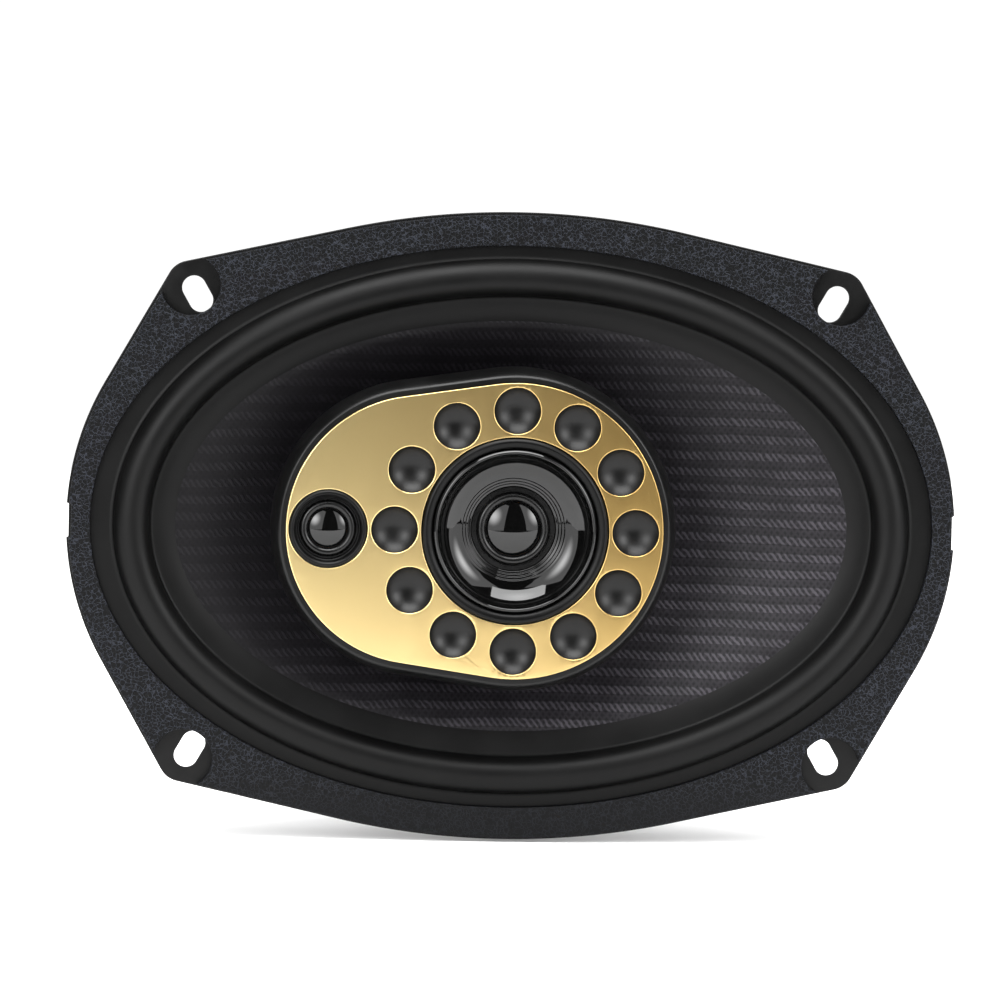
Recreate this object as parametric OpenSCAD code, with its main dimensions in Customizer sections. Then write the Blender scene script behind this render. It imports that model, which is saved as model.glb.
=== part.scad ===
// Oval three-way coaxial car speaker.
// The speaker stands upright and faces -Y: X runs along the oval, +Z is up and +Y points to the rear.
// The origin is the centre of the flange's rear face, which seats on the panel.
// Every sub-part is drawn lying down, with its front towards +Z, and upright() stands it up.

/* [Flange] */
// Overall length of the mounting flange, along X
flange_len = 237.2; // [232:0.2:290]
// Overall height of the mounting flange, along Z
flange_ht = 167.6; // [164:0.2:205]
// Radius of the two rounded ends
end_arc_r = 75; // [68:1:80]
// Radius of the two long sides
side_arc_r = 208; // [190:1:240]
// Radius of the four corner tips
ear_r = 6.5; // [5.5:0.1:7.5]
// Centre of a corner tip beyond its slot's centre, along X
ear_out_x = 1.9; // [1:0.1:3]
// Centre of a corner tip beyond its slot's centre, along Z
ear_out_y = 2.3; // [1.5:0.1:3]
// Length of the small notch at each end of the flange
notch_len = 9; // [5:0.5:14]
// Depth of that notch
notch_depth = 0.7; // [0.4:0.1:1.2]

/* [Mounting slots] */
// Distance from the flange's end to a slot's centre
slot_inset_x = 33.9; // [32:0.1:36]
// Distance from the flange's long side to a slot's centre
slot_inset_y = 23.1; // [22:0.1:25]
// Width of a slot
slot_w = 6.4; // [4.5:0.1:6.8]
// Length of a slot over its round ends
slot_len = 10.2; // [8.5:0.1:11]
// Lean of a slot from the X axis
slot_tilt = 60; // [50:1:70]

/* [Basket] */
// Thickness of the pressed steel
sheet_t = 1.2; // [0.8:0.1:1.5]
// Width of the ring from the cone's edge to the flange's edge
rim_w = 24.2; // [23:0.1:26]
// Depth of the tub's upright shoulder behind the flange
shoulder_depth = 9; // [7:0.5:11]
// Radius of the tub where it meets the suspension ledge
tub_foot_r = 52; // [51:0.5:56]
// Width of the suspension ledge
ledge_w = 6; // [4:0.5:7]
// Depth of the round pan from the ledge to the magnet seat
pan_depth = 12; // [10.5:0.5:16]
// Radius of the hole in the magnet seat
seat_hole_r = 25; // [23:0.5:28]
// Angle between the two sides of a window
window_span = 24; // [18:1:26]
// Height left solid below each window
window_sill = 5; // [3:0.5:7]

/* [Gasket] */
// Thickness of the front gasket
gasket_t = 2.6; // [2:0.1:4]
// Metal left bare outside the gasket
gasket_inset = 0.6; // [0.3:0.1:1]
// Width of the gasket at the ends of the oval
gasket_w_end = 6.3; // [5:0.1:8]
// Width of the gasket at the middle of the long sides
gasket_w_side = 8.8; // [7:0.1:9]
// Radius of the bare pocket round each mounting slot
pocket_r = 7.9; // [7.2:0.1:8.6]

/* [Woofer cone and surround] */
// Height of the cone's edge above the panel plane
cone_edge_z = 0.6; // [0:0.1:1]
// Depth of the cone from its edge to its neck
cone_depth = 28; // [26:0.5:35]
// Thickness of the cone
cone_t = 0.8; // [0.5:0.1:1.2]
// Width of the lip where the surround is glued to the cone
lip_w = 5.2; // [4:0.1:6]
// Width of the flat valley inside the roll
valley_in = 2; // [1.5:0.1:3]
// Radius of the surround's half roll
roll_r = 4.85; // [4:0.05:5]
// Width of the flat valley outside the roll
valley_out = 2.7; // [2:0.1:3]
// Width of the foot under the gasket
foot_w = 4.2; // [3:0.1:5]
// Thickness of the surround
surround_t = 0.8; // [0.5:0.1:1]

/* [Voice coil and suspension] */
// Inner radius of the coil former
former_ri = 15.5; // [13:0.1:18.6]
// Wall of the coil former
former_t = 0.3; // [0.2:0.05:0.5]
// Height of the copper winding
coil_ht = 11; // [9:0.5:13]
// Thickness of the copper winding
coil_t = 1.1; // [0.8:0.1:1.4]
// Distance from the cone's neck down to the suspension
spider_drop = 6; // [5:0.5:8]
// Thickness of the suspension cloth
spider_t = 0.6; // [0.4:0.1:0.8]
// Height of the suspension's waves, half from trough to crest
spider_wave = 1.2; // [0.8:0.1:1.6]
// Number of waves in the suspension
spider_waves = 6; // [4:1:7]

/* [Magnet] */
// Radius of the ring magnet
magnet_ro = 45; // [42:0.5:54]
// Thickness of the ring magnet
magnet_t = 17; // [14:0.5:21]
// Radius of the steel plates in front of and behind the magnet
plate_ro = 41; // [39:0.5:42]
// Thickness of the steel plates
plate_t = 5; // [4:0.5:7]
// Gap between the pole and the former
pole_gap = 0.5; // [0.3:0.05:0.8]
// Gap between the winding and the front plate
coil_gap = 0.6; // [0.4:0.05:0.9]
// Radius of the circle of rivets that hold the motor
rivet_circle_r = 34; // [31:0.5:37]
// Radius of a motor rivet
rivet_r = 2.4; // [2:0.1:3]

/* [Mast] */
// Radius of the hollow mast
mast_r = 6; // [5:0.1:7.2]
// Radius of the cable bore in the mast
mast_bore_r = 3.6; // [2.5:0.1:4]
// Clearance of the mast in the pole and in the pod's socket
mast_fit = 0.1; // [0.05:0.05:0.2]
// Distance across the flats of the nut behind the magnet
nut_flats = 19; // [18:0.5:22]
// Thickness of the nut
nut_t = 5; // [4:0.5:6]

/* [Pod] */
// Height of the trim plate's front above the panel plane
pod_front_z = 16; // [15:0.5:20]
// Radius of the trim plate's large end, about the midrange
plate_big_r = 39.4; // [38.5:0.1:42]
// Radius of the trim plate's small end
plate_small_r = 35.7; // [34:0.1:36.5]
// Distance between the centres of the two ends
plate_shift = 25.1; // [23:0.1:27]
// Thickness of the trim plate
trim_t = 1; // [0.8:0.1:1.4]
// How far the black body stands out beyond the trim plate at its foot
skirt_out = 3.8; // [3:0.1:4.5]
// Depth of the black body behind the trim plate
skirt_depth = 9; // [8:0.5:9.5]
// Number of round dishes
dishes = 12; // [6:1:12]
// Radius of the circle of dishes
dish_circle_r = 32; // [31.4:0.1:32.4]
// Radius of a dish at its mouth
dish_r = 6.15; // [5:0.05:6.2]
// Depth of a dish
dish_depth = 2.8; // [1.5:0.1:3]
// Wall of the pod's mouldings
pod_wall = 1.5; // [1.2:0.1:2]

/* [Midrange] */
// Outer radius of the midrange bezel
mid_bezel_r = 24.8; // [24.5:0.05:24.9]
// Width of the midrange bezel
mid_bezel_w = 2.9; // [2.5:0.1:3.2]
// Radius of the midrange dome
mid_dome_r = 7.2; // [6.5:0.1:8]
// Height of the midrange dome over its foot
mid_rise = 1.9; // [1.6:0.1:2.6]
// Width of the midrange dome's half roll
mid_roll_w = 2.7; // [2.2:0.1:3]
// Depth of the midrange dome's foot behind the trim plate
mid_recess = 9; // [8.5:0.5:10]

/* [Tweeter] */
// Distance from the midrange's centre to the tweeter's
tweeter_shift = 49.6; // [49.4:0.1:50]
// Outer radius of the tweeter bezel
tweeter_bezel_r = 10.4; // [10:0.05:10.45]
// Width of the tweeter bezel
tweeter_bezel_w = 2.3; // [2:0.1:2.4]
// Radius of the tweeter dome
tweeter_dome_r = 5.2; // [4.6:0.1:5.4]
// Height of the tweeter dome over its foot
tweeter_rise = 1.4; // [1.2:0.1:2]
// Width of the tweeter dome's half roll
tweeter_roll_w = 2.4; // [2:0.1:2.5]
// Depth of the tweeter dome's foot behind the trim plate
tweeter_recess = 2.5; // [2.5:0.5:4]

/* [Terminals] */
// Length of the terminal board
board_len = 44; // [40:1:48]
// Width of the terminal board
board_w = 18; // [17:0.5:19]
// Thickness of the terminal board
board_t = 1.6; // [1.2:0.1:2]
// Width of the positive blade
blade_pos_w = 6.3; // [4.8:0.1:6.4]
// Width of the negative blade
blade_neg_w = 4.8; // [2.8:0.1:4.8]
// Thickness of both blades
blade_t = 0.8; // [0.5:0.1:1]
// Length of the blades behind the board
blade_len = 12; // [9:0.5:14]

/* [Hidden] */

$fn = 64;
oval_n = 72;   // points round an oval ring
touch = 0.05;  // glue line or hairline gap between pieces of one body
bite = 0.5;    // how far a cut runs past the face it opens, and a joined shape into its neighbour

// Slots and corner tips
slot_x = flange_len / 2 - slot_inset_x;
slot_y = flange_ht / 2 - slot_inset_y;
ear_x = slot_x + ear_out_x;
ear_y = slot_y + ear_out_y;

// Oval of the cone's edge, and rings measured outwards from it
cone_a = flange_len / 2 - rim_w;
cone_b = flange_ht / 2 - rim_w;
roll_end = valley_in + 2 * roll_r;
valley_end = roll_end + valley_out;
opening_out = valley_end + 0.1;
gasket_a = flange_len / 2 - gasket_w_end;
gasket_b = flange_ht / 2 - gasket_w_side;

// Heights, measured from the panel plane
lip_z = cone_edge_z + touch;
foot_z = sheet_t;
neck_z = cone_edge_z - cone_depth;
spider_z = neck_z - spider_drop;
seat_z = spider_z - pan_depth;
front_plate_z = seat_z - sheet_t;
magnet_z = front_plate_z - plate_t;
back_plate_z = magnet_z - magnet_t;
rear_z = back_plate_z - plate_t;
washer_t = 1.5;
nut_z = rear_z - washer_t;

// Radii of the motor
magnet_gap = 5.5; // room between the winding and the ring magnet
former_ro = former_ri + former_t;
coil_ro = former_ro + touch + coil_t;
pole_r = former_ri - pole_gap;
gap_r = coil_ro + coil_gap;
magnet_ri = coil_ro + magnet_gap;
neck_r = former_ro + 0.2;
coil_mid_z = front_plate_z - plate_t / 2;
former_tail = 1;
pole_top_z = front_plate_z + 0.5;
rivet_head_r = rivet_r + 1.4;
rivet_head_t = 1.4;
washer_r = mast_r + 5;
collar_r = mast_r + 3;
collar_t = 3;
mast_end = 1; // length of the mast that stands out of the nut
seal_t = 3;
former_top = 1.5; // length of the former inside the cone's neck

// Pod heights
trim_z = pod_front_z - trim_t;
skirt_z = pod_front_z - trim_t - skirt_depth + 1;
body_face_t = 4;
body_face_z = trim_z - body_face_t;
tray_depth = 3;
tray_z = skirt_z - tray_depth;
bowl_z = -17;
bowl_r = 20;
bowl_mouth_r = 27;
socket_r = 9.5;
mast_top_z = bowl_z + 2.6;
screw_places = [[33.5, 0], [-30, 25], [-30, -25]];
screw_r = 1.4;
screw_head_r = 2.6;
screw_head_t = 1.6;
screw_bite = 5;      // length of a screw inside its post
socket_depth = 4;    // length of the mast's socket behind the bowl
post_r = 3;

// Small drivers
mid_z = pod_front_z - mid_recess;
horn_seat_z = body_face_z - 1.5;
horn_flange_r = 26;
foot_rim = 1.2;
horn_throat_r = mid_dome_r + mid_roll_w + foot_rim + 0.1;
tweeter_z = pod_front_z - tweeter_recess;
film_t = 0.25;
small_gap = 0.4;
mid_coil_t = 0.6;
mid_former_t = 0.15;
mid_pot_r = 14;
mid_pot_wall = 2.4;
mid_pot_depth = 10.5;
mid_lip_t = 2.5;
mid_pot_z = mid_z - 1.6;
tweeter_coil_t = 0.45;
tweeter_pot_r = 9;
tweeter_pot_wall = 1.8;
tweeter_pot_depth = 8.5;
tweeter_lip_t = 2;
tweeter_pot_z = tweeter_z - 1.4;

// Terminal side, at the lower long side of the tub
tab_w = 18;
tab_reach = 9;   // how far the tab hangs below the board's upper edge
tab_bite = 3;    // how far the tab runs into the ledge
tab_hole_x = 6;
tab_hole_r = 1.3;
board_y = -(tub_foot_r + 2);
board_mid_y = board_y - board_w / 2;
tab_hole_y = board_y - 4;
board_z = spider_z - sheet_t - board_t;
tab_rivet_head_r = 2.2;
tab_rivet_head_t = 0.9;
blade_x = 17;
blade_hole_r = 1.2;
blade_foot = 7;        // length of a blade's foot on the board
blade_lock_r = 0.9;    // locking hole near a blade's tip
cap_x = 5.5;
cap_y = board_mid_y - 2;
eyelet_x = 8;
eyelet_y = -25;
eyelet_r = 0.95;
eyelet_bore_r = 0.5;
eyelet_flare_r = 1.5;
eyelet_tail = 3.2;
eyelet_head = 1.2;
mid_cap_r = 4;
mid_cap_len = 12;
tweeter_cap_r = 3.2;
tweeter_cap_len = 11;
lead_r = 0.7;
cable_r = 1.3;

// The cone's front: its inner edge, the middle of its curve and its neck
cone_in_a = cone_a - lip_w;
cone_in_b = cone_b - lip_w;
cone_mid_a = (cone_in_a + neck_r) / 2;
cone_mid_b = (cone_in_b + neck_r) / 2;
cone_lip_z = cone_edge_z - 0.9;
cone_mid_z = cone_edge_z - 0.46 * cone_depth;
cone_neck_z = neck_z + 0.9;
// Height of the cone's front where the leads reach it, low on the short side of the oval
cone_slope = (cone_mid_z - cone_neck_z) / (cone_mid_b - neck_r);
eyelet_z = cone_neck_z + (norm([eyelet_x, eyelet_y]) - neck_r) * cone_slope;

// Braided leads from the board, through the windows, to the eyelets at the cone's neck
function lead_points(s) = [
    [s * blade_x, board_mid_y, board_z + board_t + 1.3],
    [s * blade_x, board_mid_y, -29],
    [s * 15, -58, -22],
    [s * 13, -49, -20],
    [s * 11, -40, -23],
    [s * 9, -31, eyelet_z - 6],
    [s * eyelet_x, eyelet_y, eyelet_z - 4.4]
];

// Cable of the two small drivers: down the mast, round the magnet and up to the board
cable_points = [
    [-17.6, 0, -4],
    [-16.6, 0, -9.5],
    [-11.5, 0, -12.2],
    [-4, 0, -12.6],
    [-0.8, 0, -16],
    [0, 0, -24],
    [0, 0, -60],
    [0, 0, nut_z - nut_t - 1],
    [0, -6, nut_z - nut_t - 5],
    [0, -20, nut_z - 4.5],
    [0, -38, rear_z - 3.4],
    [0, -47.5, rear_z + 1.5],
    [0, -49, -60],
    [0, -51, -48],
    [0, -57, board_z - 4],
    [0, -60, board_z - 1.5]
];
tweeter_lead_points = [
    [tweeter_pot_r + 0.9 - tweeter_shift, 0, tray_z + 3.4],
    [-34, 0, tray_z + 3.4],
    [-27.2, 0, tray_z + 3.1],
    [-23.4, 0, 1.5],
    [-21, 0, -3]
];

module upright() {
    rotate([90, 0, 0]) children();
}

// ---- Rings and lofts ----

function oval(a, b, z) =
    [for (i = [0:oval_n - 1]) [a * cos(360 * i / oval_n), b * sin(360 * i / oval_n), z]];

// An oval ring that stands t outside the cone's edge
function edge_ring(t, z) = oval(cone_a + t, cone_b + t, z);

// A ring of section rings: up the outside, then down the inside
module ring_loft(rings) {
    n = len(rings[0]);
    m = len(rings);
    faces = [
        for (k = [0:m - 1], i = [0:n - 1])
            let (k2 = (k + 1) % m, j = (i + 1) % n)
                each [[k * n + i, k2 * n + j, k * n + j], [k * n + i, k2 * n + i, k2 * n + j]]
    ];
    polyhedron([for (r = rings) each r], faces);
}

// A solid through stacked rings, from the lowest to the highest
module solid_loft(rings) {
    n = len(rings[0]);
    m = len(rings);
    sides = [
        for (k = [0:m - 2], i = [0:n - 1])
            let (j = (i + 1) % n)
                each [
                    [k * n + i, (k + 1) * n + j, k * n + j],
                    [k * n + i, (k + 1) * n + i, (k + 1) * n + j]
                ]
    ];
    floor_face = [for (i = [0:n - 1]) i];
    roof_face = [for (i = [n - 1:-1:0]) (m - 1) * n + i];
    polyhedron([for (r = rings) each r], concat(sides, [floor_face, roof_face]));
}

// ---- A round tube swept along a list of points ----

function unit(v) = v / norm(v);
function aim(p, i) = unit(p[min(i + 1, len(p) - 1)] - p[max(i - 1, 0)]);
function side_of(d) = unit(cross(d, abs(d[0]) > 0.9 ? [0, 1, 0] : [1, 0, 0]));
function tube_ring(c, d, r, n) =
    let (u = side_of(d), v = cross(d, u))
        [for (i = [0:n - 1]) c + r * (cos(360 * i / n) * u + sin(360 * i / n) * v)];

// A smooth run of points through the chosen ones
function between(p, i, t) =
    let (a = p[max(i - 1, 0)], b = p[i], c = p[i + 1], d = p[min(i + 2, len(p) - 1)])
        0.5 * (2 * b + (c - a) * t + (2 * a - 5 * b + 4 * c - d) * t * t
            + (3 * b - a - 3 * c + d) * t * t * t);
function smooth(p, steps) =
    concat([for (i = [0:len(p) - 2], s = [0:steps - 1]) between(p, i, s / steps)], [p[len(p) - 1]]);

module tube(route, r, n = 8) {
    rings = [for (i = [0:len(route) - 1]) tube_ring(route[i], aim(route, i), r, n)];
    solid_loft(rings);
}

// ---- Flat outlines ----

// Direction of the straight edge that touches two circles, as the angle of its outward normal
function tangent_angle(d, r1, r2, turn) = atan2(d[1], d[0]) + turn * acos((r1 - r2) / norm(d));

// One quarter of the flange, from the +X end round to the top, drawn in by a margin
function flange_quarter(inset) =
    let (
        end_c = [flange_len / 2 - end_arc_r, 0],
        side_c = [0, flange_ht / 2 - side_arc_r],
        ear_c = [ear_x, ear_y],
        a1 = tangent_angle(ear_c - end_c, end_arc_r, ear_r, -1),
        a2 = tangent_angle(ear_c - side_c, side_arc_r, ear_r, 1),
        steps = 8
    )
        concat(
            [for (i = [0:steps]) let (a = a1 * i / steps) end_c + (end_arc_r - inset) * [cos(a), sin(a)]],
            [
                for (i = [0:steps])
                    let (a = a1 + (a2 - a1) * i / steps)
                        ear_c + (ear_r - inset) * [cos(a), sin(a)]
            ],
            [
                for (i = [0:steps])
                    let (a = a2 + (90 - a2) * i / steps)
                        side_c + (side_arc_r - inset) * [cos(a), sin(a)]
            ]
        );

function reversed(p) = [for (i = [len(p) - 1:-1:0]) p[i]];

module flange_outline(inset) {
    q = flange_quarter(inset);
    half = concat(q, [for (p = reversed(q)) [-p[0], p[1]]]);
    polygon(concat(half, [for (p = reversed(half)) [p[0], -p[1]]]));
}

// The pod's outline: two round ends of different size and the straight edges that touch both
function egg(out) =
    let (lean = acos((plate_big_r - plate_small_r) / plate_shift), turn = 180 - lean)
        concat(
            [for (i = [0:30]) let (a = -turn + 2 * turn * i / 30) (plate_big_r + out) * [cos(a), sin(a)]],
            [
                for (i = [0:24])
                    let (a = turn + 2 * lean * i / 24)
                        [-plate_shift, 0] + (plate_small_r + out) * [cos(a), sin(a)]
            ]
        );

function egg_ring(out, z) = [for (p = egg(out)) [p[0], p[1], z]];

// ---- Shared small shapes ----

module disc(r, z0, z1) {
    translate([0, 0, z0]) cylinder(r = r, h = z1 - z0);
}

module washer(ri, ro, z0, z1) {
    difference() {
        disc(ro, z0, z1);
        disc(ri, z0 - bite, z1 + bite);
    }
}

module slot(w, len, z0, z1) {
    reach = (len - w) / 2;
    translate([-reach, 0, 0]) disc(w / 2, z0, z1);
    translate([reach, 0, 0]) disc(w / 2, z0, z1);
    translate([-reach, -w / 2, z0]) cube([2 * reach, w, z1 - z0]);
}

// Places a shape at all four corners, mirrored so that it leans the same way outwards
module four_corners() {
    for (sx = [0, 1], sy = [0, 1])
        mirror([sx, 0, 0]) mirror([0, sy, 0]) children();
}

// A straight cut of oval outline
module oval_hole(a, b, z0, z1) {
    n = 2 * oval_n;
    translate([0, 0, z0]) linear_extrude(z1 - z0)
        polygon([for (i = [0:n - 1]) [a * cos(360 * i / n), b * sin(360 * i / n)]]);
}

module end_notches(inset, z0, z1) {
    for (s = [-1, 1])
        translate([s * (flange_len / 2 - inset), 0, (z0 + z1) / 2])
            cube([2 * notch_depth, notch_len, z1 - z0 + 2 * bite], center = true);
}

// ---- Basket and front ----

module tub_wall() {
    top = opening_out + 0.5;
    low = tub_foot_r;
    t = sheet_t;
    ring_loft([
        oval(low + bite, low + bite, spider_z - t / 2),
        oval(low + 5, low + 3.5, spider_z + window_sill - 1),
        oval(cone_a + top - 6, cone_b + top - 4, -shoulder_depth),
        edge_ring(top + t - 0.7, -3),
        edge_ring(top + t, sheet_t / 2),
        edge_ring(top, sheet_t / 2),
        edge_ring(top - 0.7, -3 + t / 2),
        oval(cone_a + top - 6 - t, cone_b + top - 4 - t, -shoulder_depth + t / 2),
        oval(low + 5 - t, low + 3.5 - t, spider_z + window_sill - 1 + t / 2),
        oval(low + bite - t, low + bite - t, spider_z - t / 2)
    ]);
}

module pan() {
    pan_r = tub_foot_r - ledge_w;
    rotate_extrude()
        polygon([
            [seat_hole_r, front_plate_z],
            [pan_r + sheet_t, front_plate_z],
            [pan_r + sheet_t, spider_z - sheet_t],
            [tub_foot_r, spider_z - sheet_t],
            [tub_foot_r, spider_z],
            [pan_r, spider_z],
            [pan_r, seat_z],
            [seat_hole_r, seat_z]
        ]);
}

// Angles of the middles of the windows in one quarter, and of the two at the ends
function window_angles() = [0, 39, 73.5, 106.5, 141, 180, 219, 253.5, 286.5, 321];

module window_cut(middle) {
    rotate([0, 0, middle - window_span / 2])
        rotate_extrude(angle = window_span)
            polygon([
                [tub_foot_r - ledge_w, spider_z + window_sill],
                [flange_len, spider_z + window_sill],
                [flange_len, -shoulder_depth - bite],
                [tub_foot_r - ledge_w, -shoulder_depth - bite]
            ]);
}

module terminal_tab() {
    difference() {
        translate([-tab_w / 2, board_y - tab_reach, spider_z - sheet_t])
            cube([tab_w, tab_reach + tab_bite, sheet_t]);
        for (s = [-1, 1])
            translate([s * tab_hole_x, tab_hole_y, 0])
                disc(tab_hole_r, spider_z - sheet_t - bite, spider_z + bite);
    }
}

module basket() {
    color([0.09, 0.09, 0.1]) upright() difference() {
        union() {
            difference() {
                linear_extrude(sheet_t) flange_outline(0);
                oval_hole(cone_a + opening_out, cone_b + opening_out, -bite, sheet_t + bite);
            }
            difference() {
                tub_wall();
                for (w = window_angles()) window_cut(w);
            }
            pan();
            terminal_tab();
        }
        four_corners()
            translate([slot_x, slot_y, 0])
                rotate([0, 0, slot_tilt]) slot(slot_w, slot_len, -bite, sheet_t + bite);
        end_notches(0, 0, sheet_t);
        for (i = [0:3])
            rotate([0, 0, 45 + 90 * i]) translate([rivet_circle_r, 0, 0])
                disc(rivet_r, front_plate_z - bite, seat_z + bite);
    }
}

module front_gasket() {
    foot_out = valley_end + foot_w + 0.3;
    color([0.06, 0.06, 0.07]) upright() difference() {
        translate([0, 0, sheet_t]) linear_extrude(gasket_t) flange_outline(gasket_inset);
        oval_hole(gasket_a, gasket_b, 0, sheet_t + gasket_t + bite);
        oval_hole(cone_a + foot_out, cone_b + foot_out, 0, foot_z + surround_t + touch);
        four_corners() translate([ear_x, ear_y, 0]) disc(pocket_r, 0, sheet_t + gasket_t + bite);
        end_notches(gasket_inset, sheet_t, sheet_t + gasket_t);
    }
}

module surround() {
    t = surround_t;
    steps = 10;
    base = foot_z;
    mid = valley_in + roll_r;
    color([0.12, 0.12, 0.12]) upright() ring_loft(concat(
        [edge_ring(valley_end + foot_w, base), edge_ring(valley_end + foot_w, base + t)],
        [edge_ring(roll_end + 0.6, base + t)],
        [for (i = [1:steps - 1]) let (a = 180 * i / steps)
            edge_ring(mid + roll_r * cos(a), base + t + (roll_r + 0.4) * sin(a))],
        [edge_ring(valley_in - 0.6, lip_z + t + 0.2), edge_ring(-lip_w, lip_z + t - 0.9)],
        [edge_ring(-lip_w, lip_z - 0.9), edge_ring(0, lip_z), edge_ring(valley_in - 0.4, lip_z + 0.2)],
        [for (i = [1:steps - 1]) let (a = 180 - 180 * i / steps)
            edge_ring(mid + (roll_r - t) * cos(a), base + (roll_r - t + 0.8) * sin(a))],
        [edge_ring(roll_end + 0.4, base)]
    ));
}

// ---- Moving assembly of the woofer ----

module cone() {
    color([0.1, 0.1, 0.11]) upright() difference() {
        ring_loft([
            oval(neck_r + cone_t, neck_r + cone_t, neck_z),
            oval(cone_mid_a + 0.3, cone_mid_b + 0.6, cone_mid_z - 1.1 * cone_t),
            oval(cone_in_a + 0.3, cone_in_b + 0.3, cone_lip_z - cone_t),
            oval(cone_a, cone_b, cone_edge_z - cone_t),
            oval(cone_a, cone_b, cone_edge_z),
            oval(cone_in_a, cone_in_b, cone_lip_z),
            oval(cone_mid_a, cone_mid_b, cone_mid_z),
            oval(neck_r, neck_r, cone_neck_z)
        ]);
        for (s = [-1, 1])
            translate([s * eyelet_x, eyelet_y, 0]) disc(eyelet_r + touch, eyelet_z - 4, eyelet_z + 4);
    }
}

// Hollow rivets through the cone, where the braided leads meet the coil's wires
module lead_eyelets() {
    color([0.75, 0.7, 0.55]) upright() for (s = [-1, 1])
        translate([s * eyelet_x, eyelet_y, 0]) {
            washer(eyelet_bore_r, eyelet_r, eyelet_z - eyelet_tail, eyelet_z + eyelet_head);
            washer(eyelet_bore_r, eyelet_flare_r, eyelet_z - eyelet_tail - 0.4, eyelet_z - eyelet_tail);
        }
}

module voice_coil_former() {
    color([0.7, 0.66, 0.6]) upright()
        washer(former_ri, former_ro, coil_mid_z - coil_ht / 2 - former_tail, neck_z + former_top);
}

module voice_coil() {
    color([0.72, 0.38, 0.2]) upright()
        washer(former_ro + touch, coil_ro, coil_mid_z - coil_ht / 2, coil_mid_z + coil_ht / 2);
}

// Radius and height of the waved cloth, from its collar out to its foot
function wave_point(i, n, dz) =
    let (
        r0 = former_ro + 2.2,
        r1 = tub_foot_r - ledge_w - 0.6,
        f = i / n
    )
        [r0 + (r1 - r0) * f, spider_z + spider_t / 2 + spider_wave * sin(360 * spider_waves * f) + dz];

module spider() {
    n = spider_waves * 8;
    half_t = spider_t / 2;
    inner_r = former_ro + touch;
    outer_r = tub_foot_r - 1.4;
    upper = [for (i = [0:n]) wave_point(i, n, half_t)];
    lower = [for (i = [n:-1:0]) wave_point(i, n, -half_t)];
    color([0.78, 0.62, 0.3]) upright() rotate_extrude()
        polygon(concat(
            [[inner_r, spider_z], [inner_r, spider_z + 1.6], [inner_r + spider_t, spider_z + 1.6]],
            [[inner_r + spider_t, spider_z + spider_t]],
            upper,
            [[outer_r, spider_z + spider_t], [outer_r, spider_z]],
            lower
        ));
}

module dust_seal() {
    color([0.16, 0.16, 0.17]) upright()
        washer(mast_r + touch, pole_r, neck_z - seal_t, neck_z);
}

// ---- Motor ----

module rivet_holes(z0, z1) {
    for (i = [0:3])
        rotate([0, 0, 45 + 90 * i]) translate([rivet_circle_r, 0, 0]) disc(rivet_r, z0, z1);
}

module front_plate() {
    color([0.62, 0.62, 0.6]) upright() difference() {
        washer(gap_r, plate_ro, magnet_z, front_plate_z);
        rivet_holes(magnet_z - bite, front_plate_z + bite);
    }
}

module magnet() {
    color([0.2, 0.2, 0.21]) upright() washer(magnet_ri, magnet_ro, back_plate_z, magnet_z);
}

module pole_yoke() {
    color([0.62, 0.62, 0.6]) upright() difference() {
        union() {
            disc(plate_ro, rear_z, back_plate_z);
            disc(pole_r, rear_z, pole_top_z);
        }
        disc(mast_r + mast_fit, rear_z - bite, pole_top_z + bite);
    }
}

module motor_rivets() {
    color([0.7, 0.7, 0.68]) upright() for (i = [0:3])
        rotate([0, 0, 45 + 90 * i]) translate([rivet_circle_r, 0, 0]) {
            disc(rivet_r - touch, magnet_z + touch, seat_z + touch);
            disc(rivet_head_r, seat_z + touch, seat_z + rivet_head_t);
        }
}

module mast() {
    collar_z = pole_top_z + touch;
    color([0.75, 0.75, 0.74]) upright() difference() {
        union() {
            disc(mast_r, nut_z - nut_t - mast_end, mast_top_z);
            disc(collar_r, collar_z, collar_z + collar_t);
        }
        disc(mast_bore_r, nut_z - nut_t - mast_end - bite, mast_top_z + bite);
    }
}

module mast_washer() {
    color([0.75, 0.75, 0.72]) upright() washer(mast_r + mast_fit, washer_r, nut_z + touch, rear_z - touch);
}

module mast_nut() {
    color([0.7, 0.7, 0.68]) upright() difference() {
        translate([0, 0, nut_z - nut_t]) cylinder(r = nut_flats / sqrt(3), h = nut_t, $fn = 6);
        disc(mast_r + touch, nut_z - nut_t - bite, nut_z + bite);
    }
}

// ---- Pod ----

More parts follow.
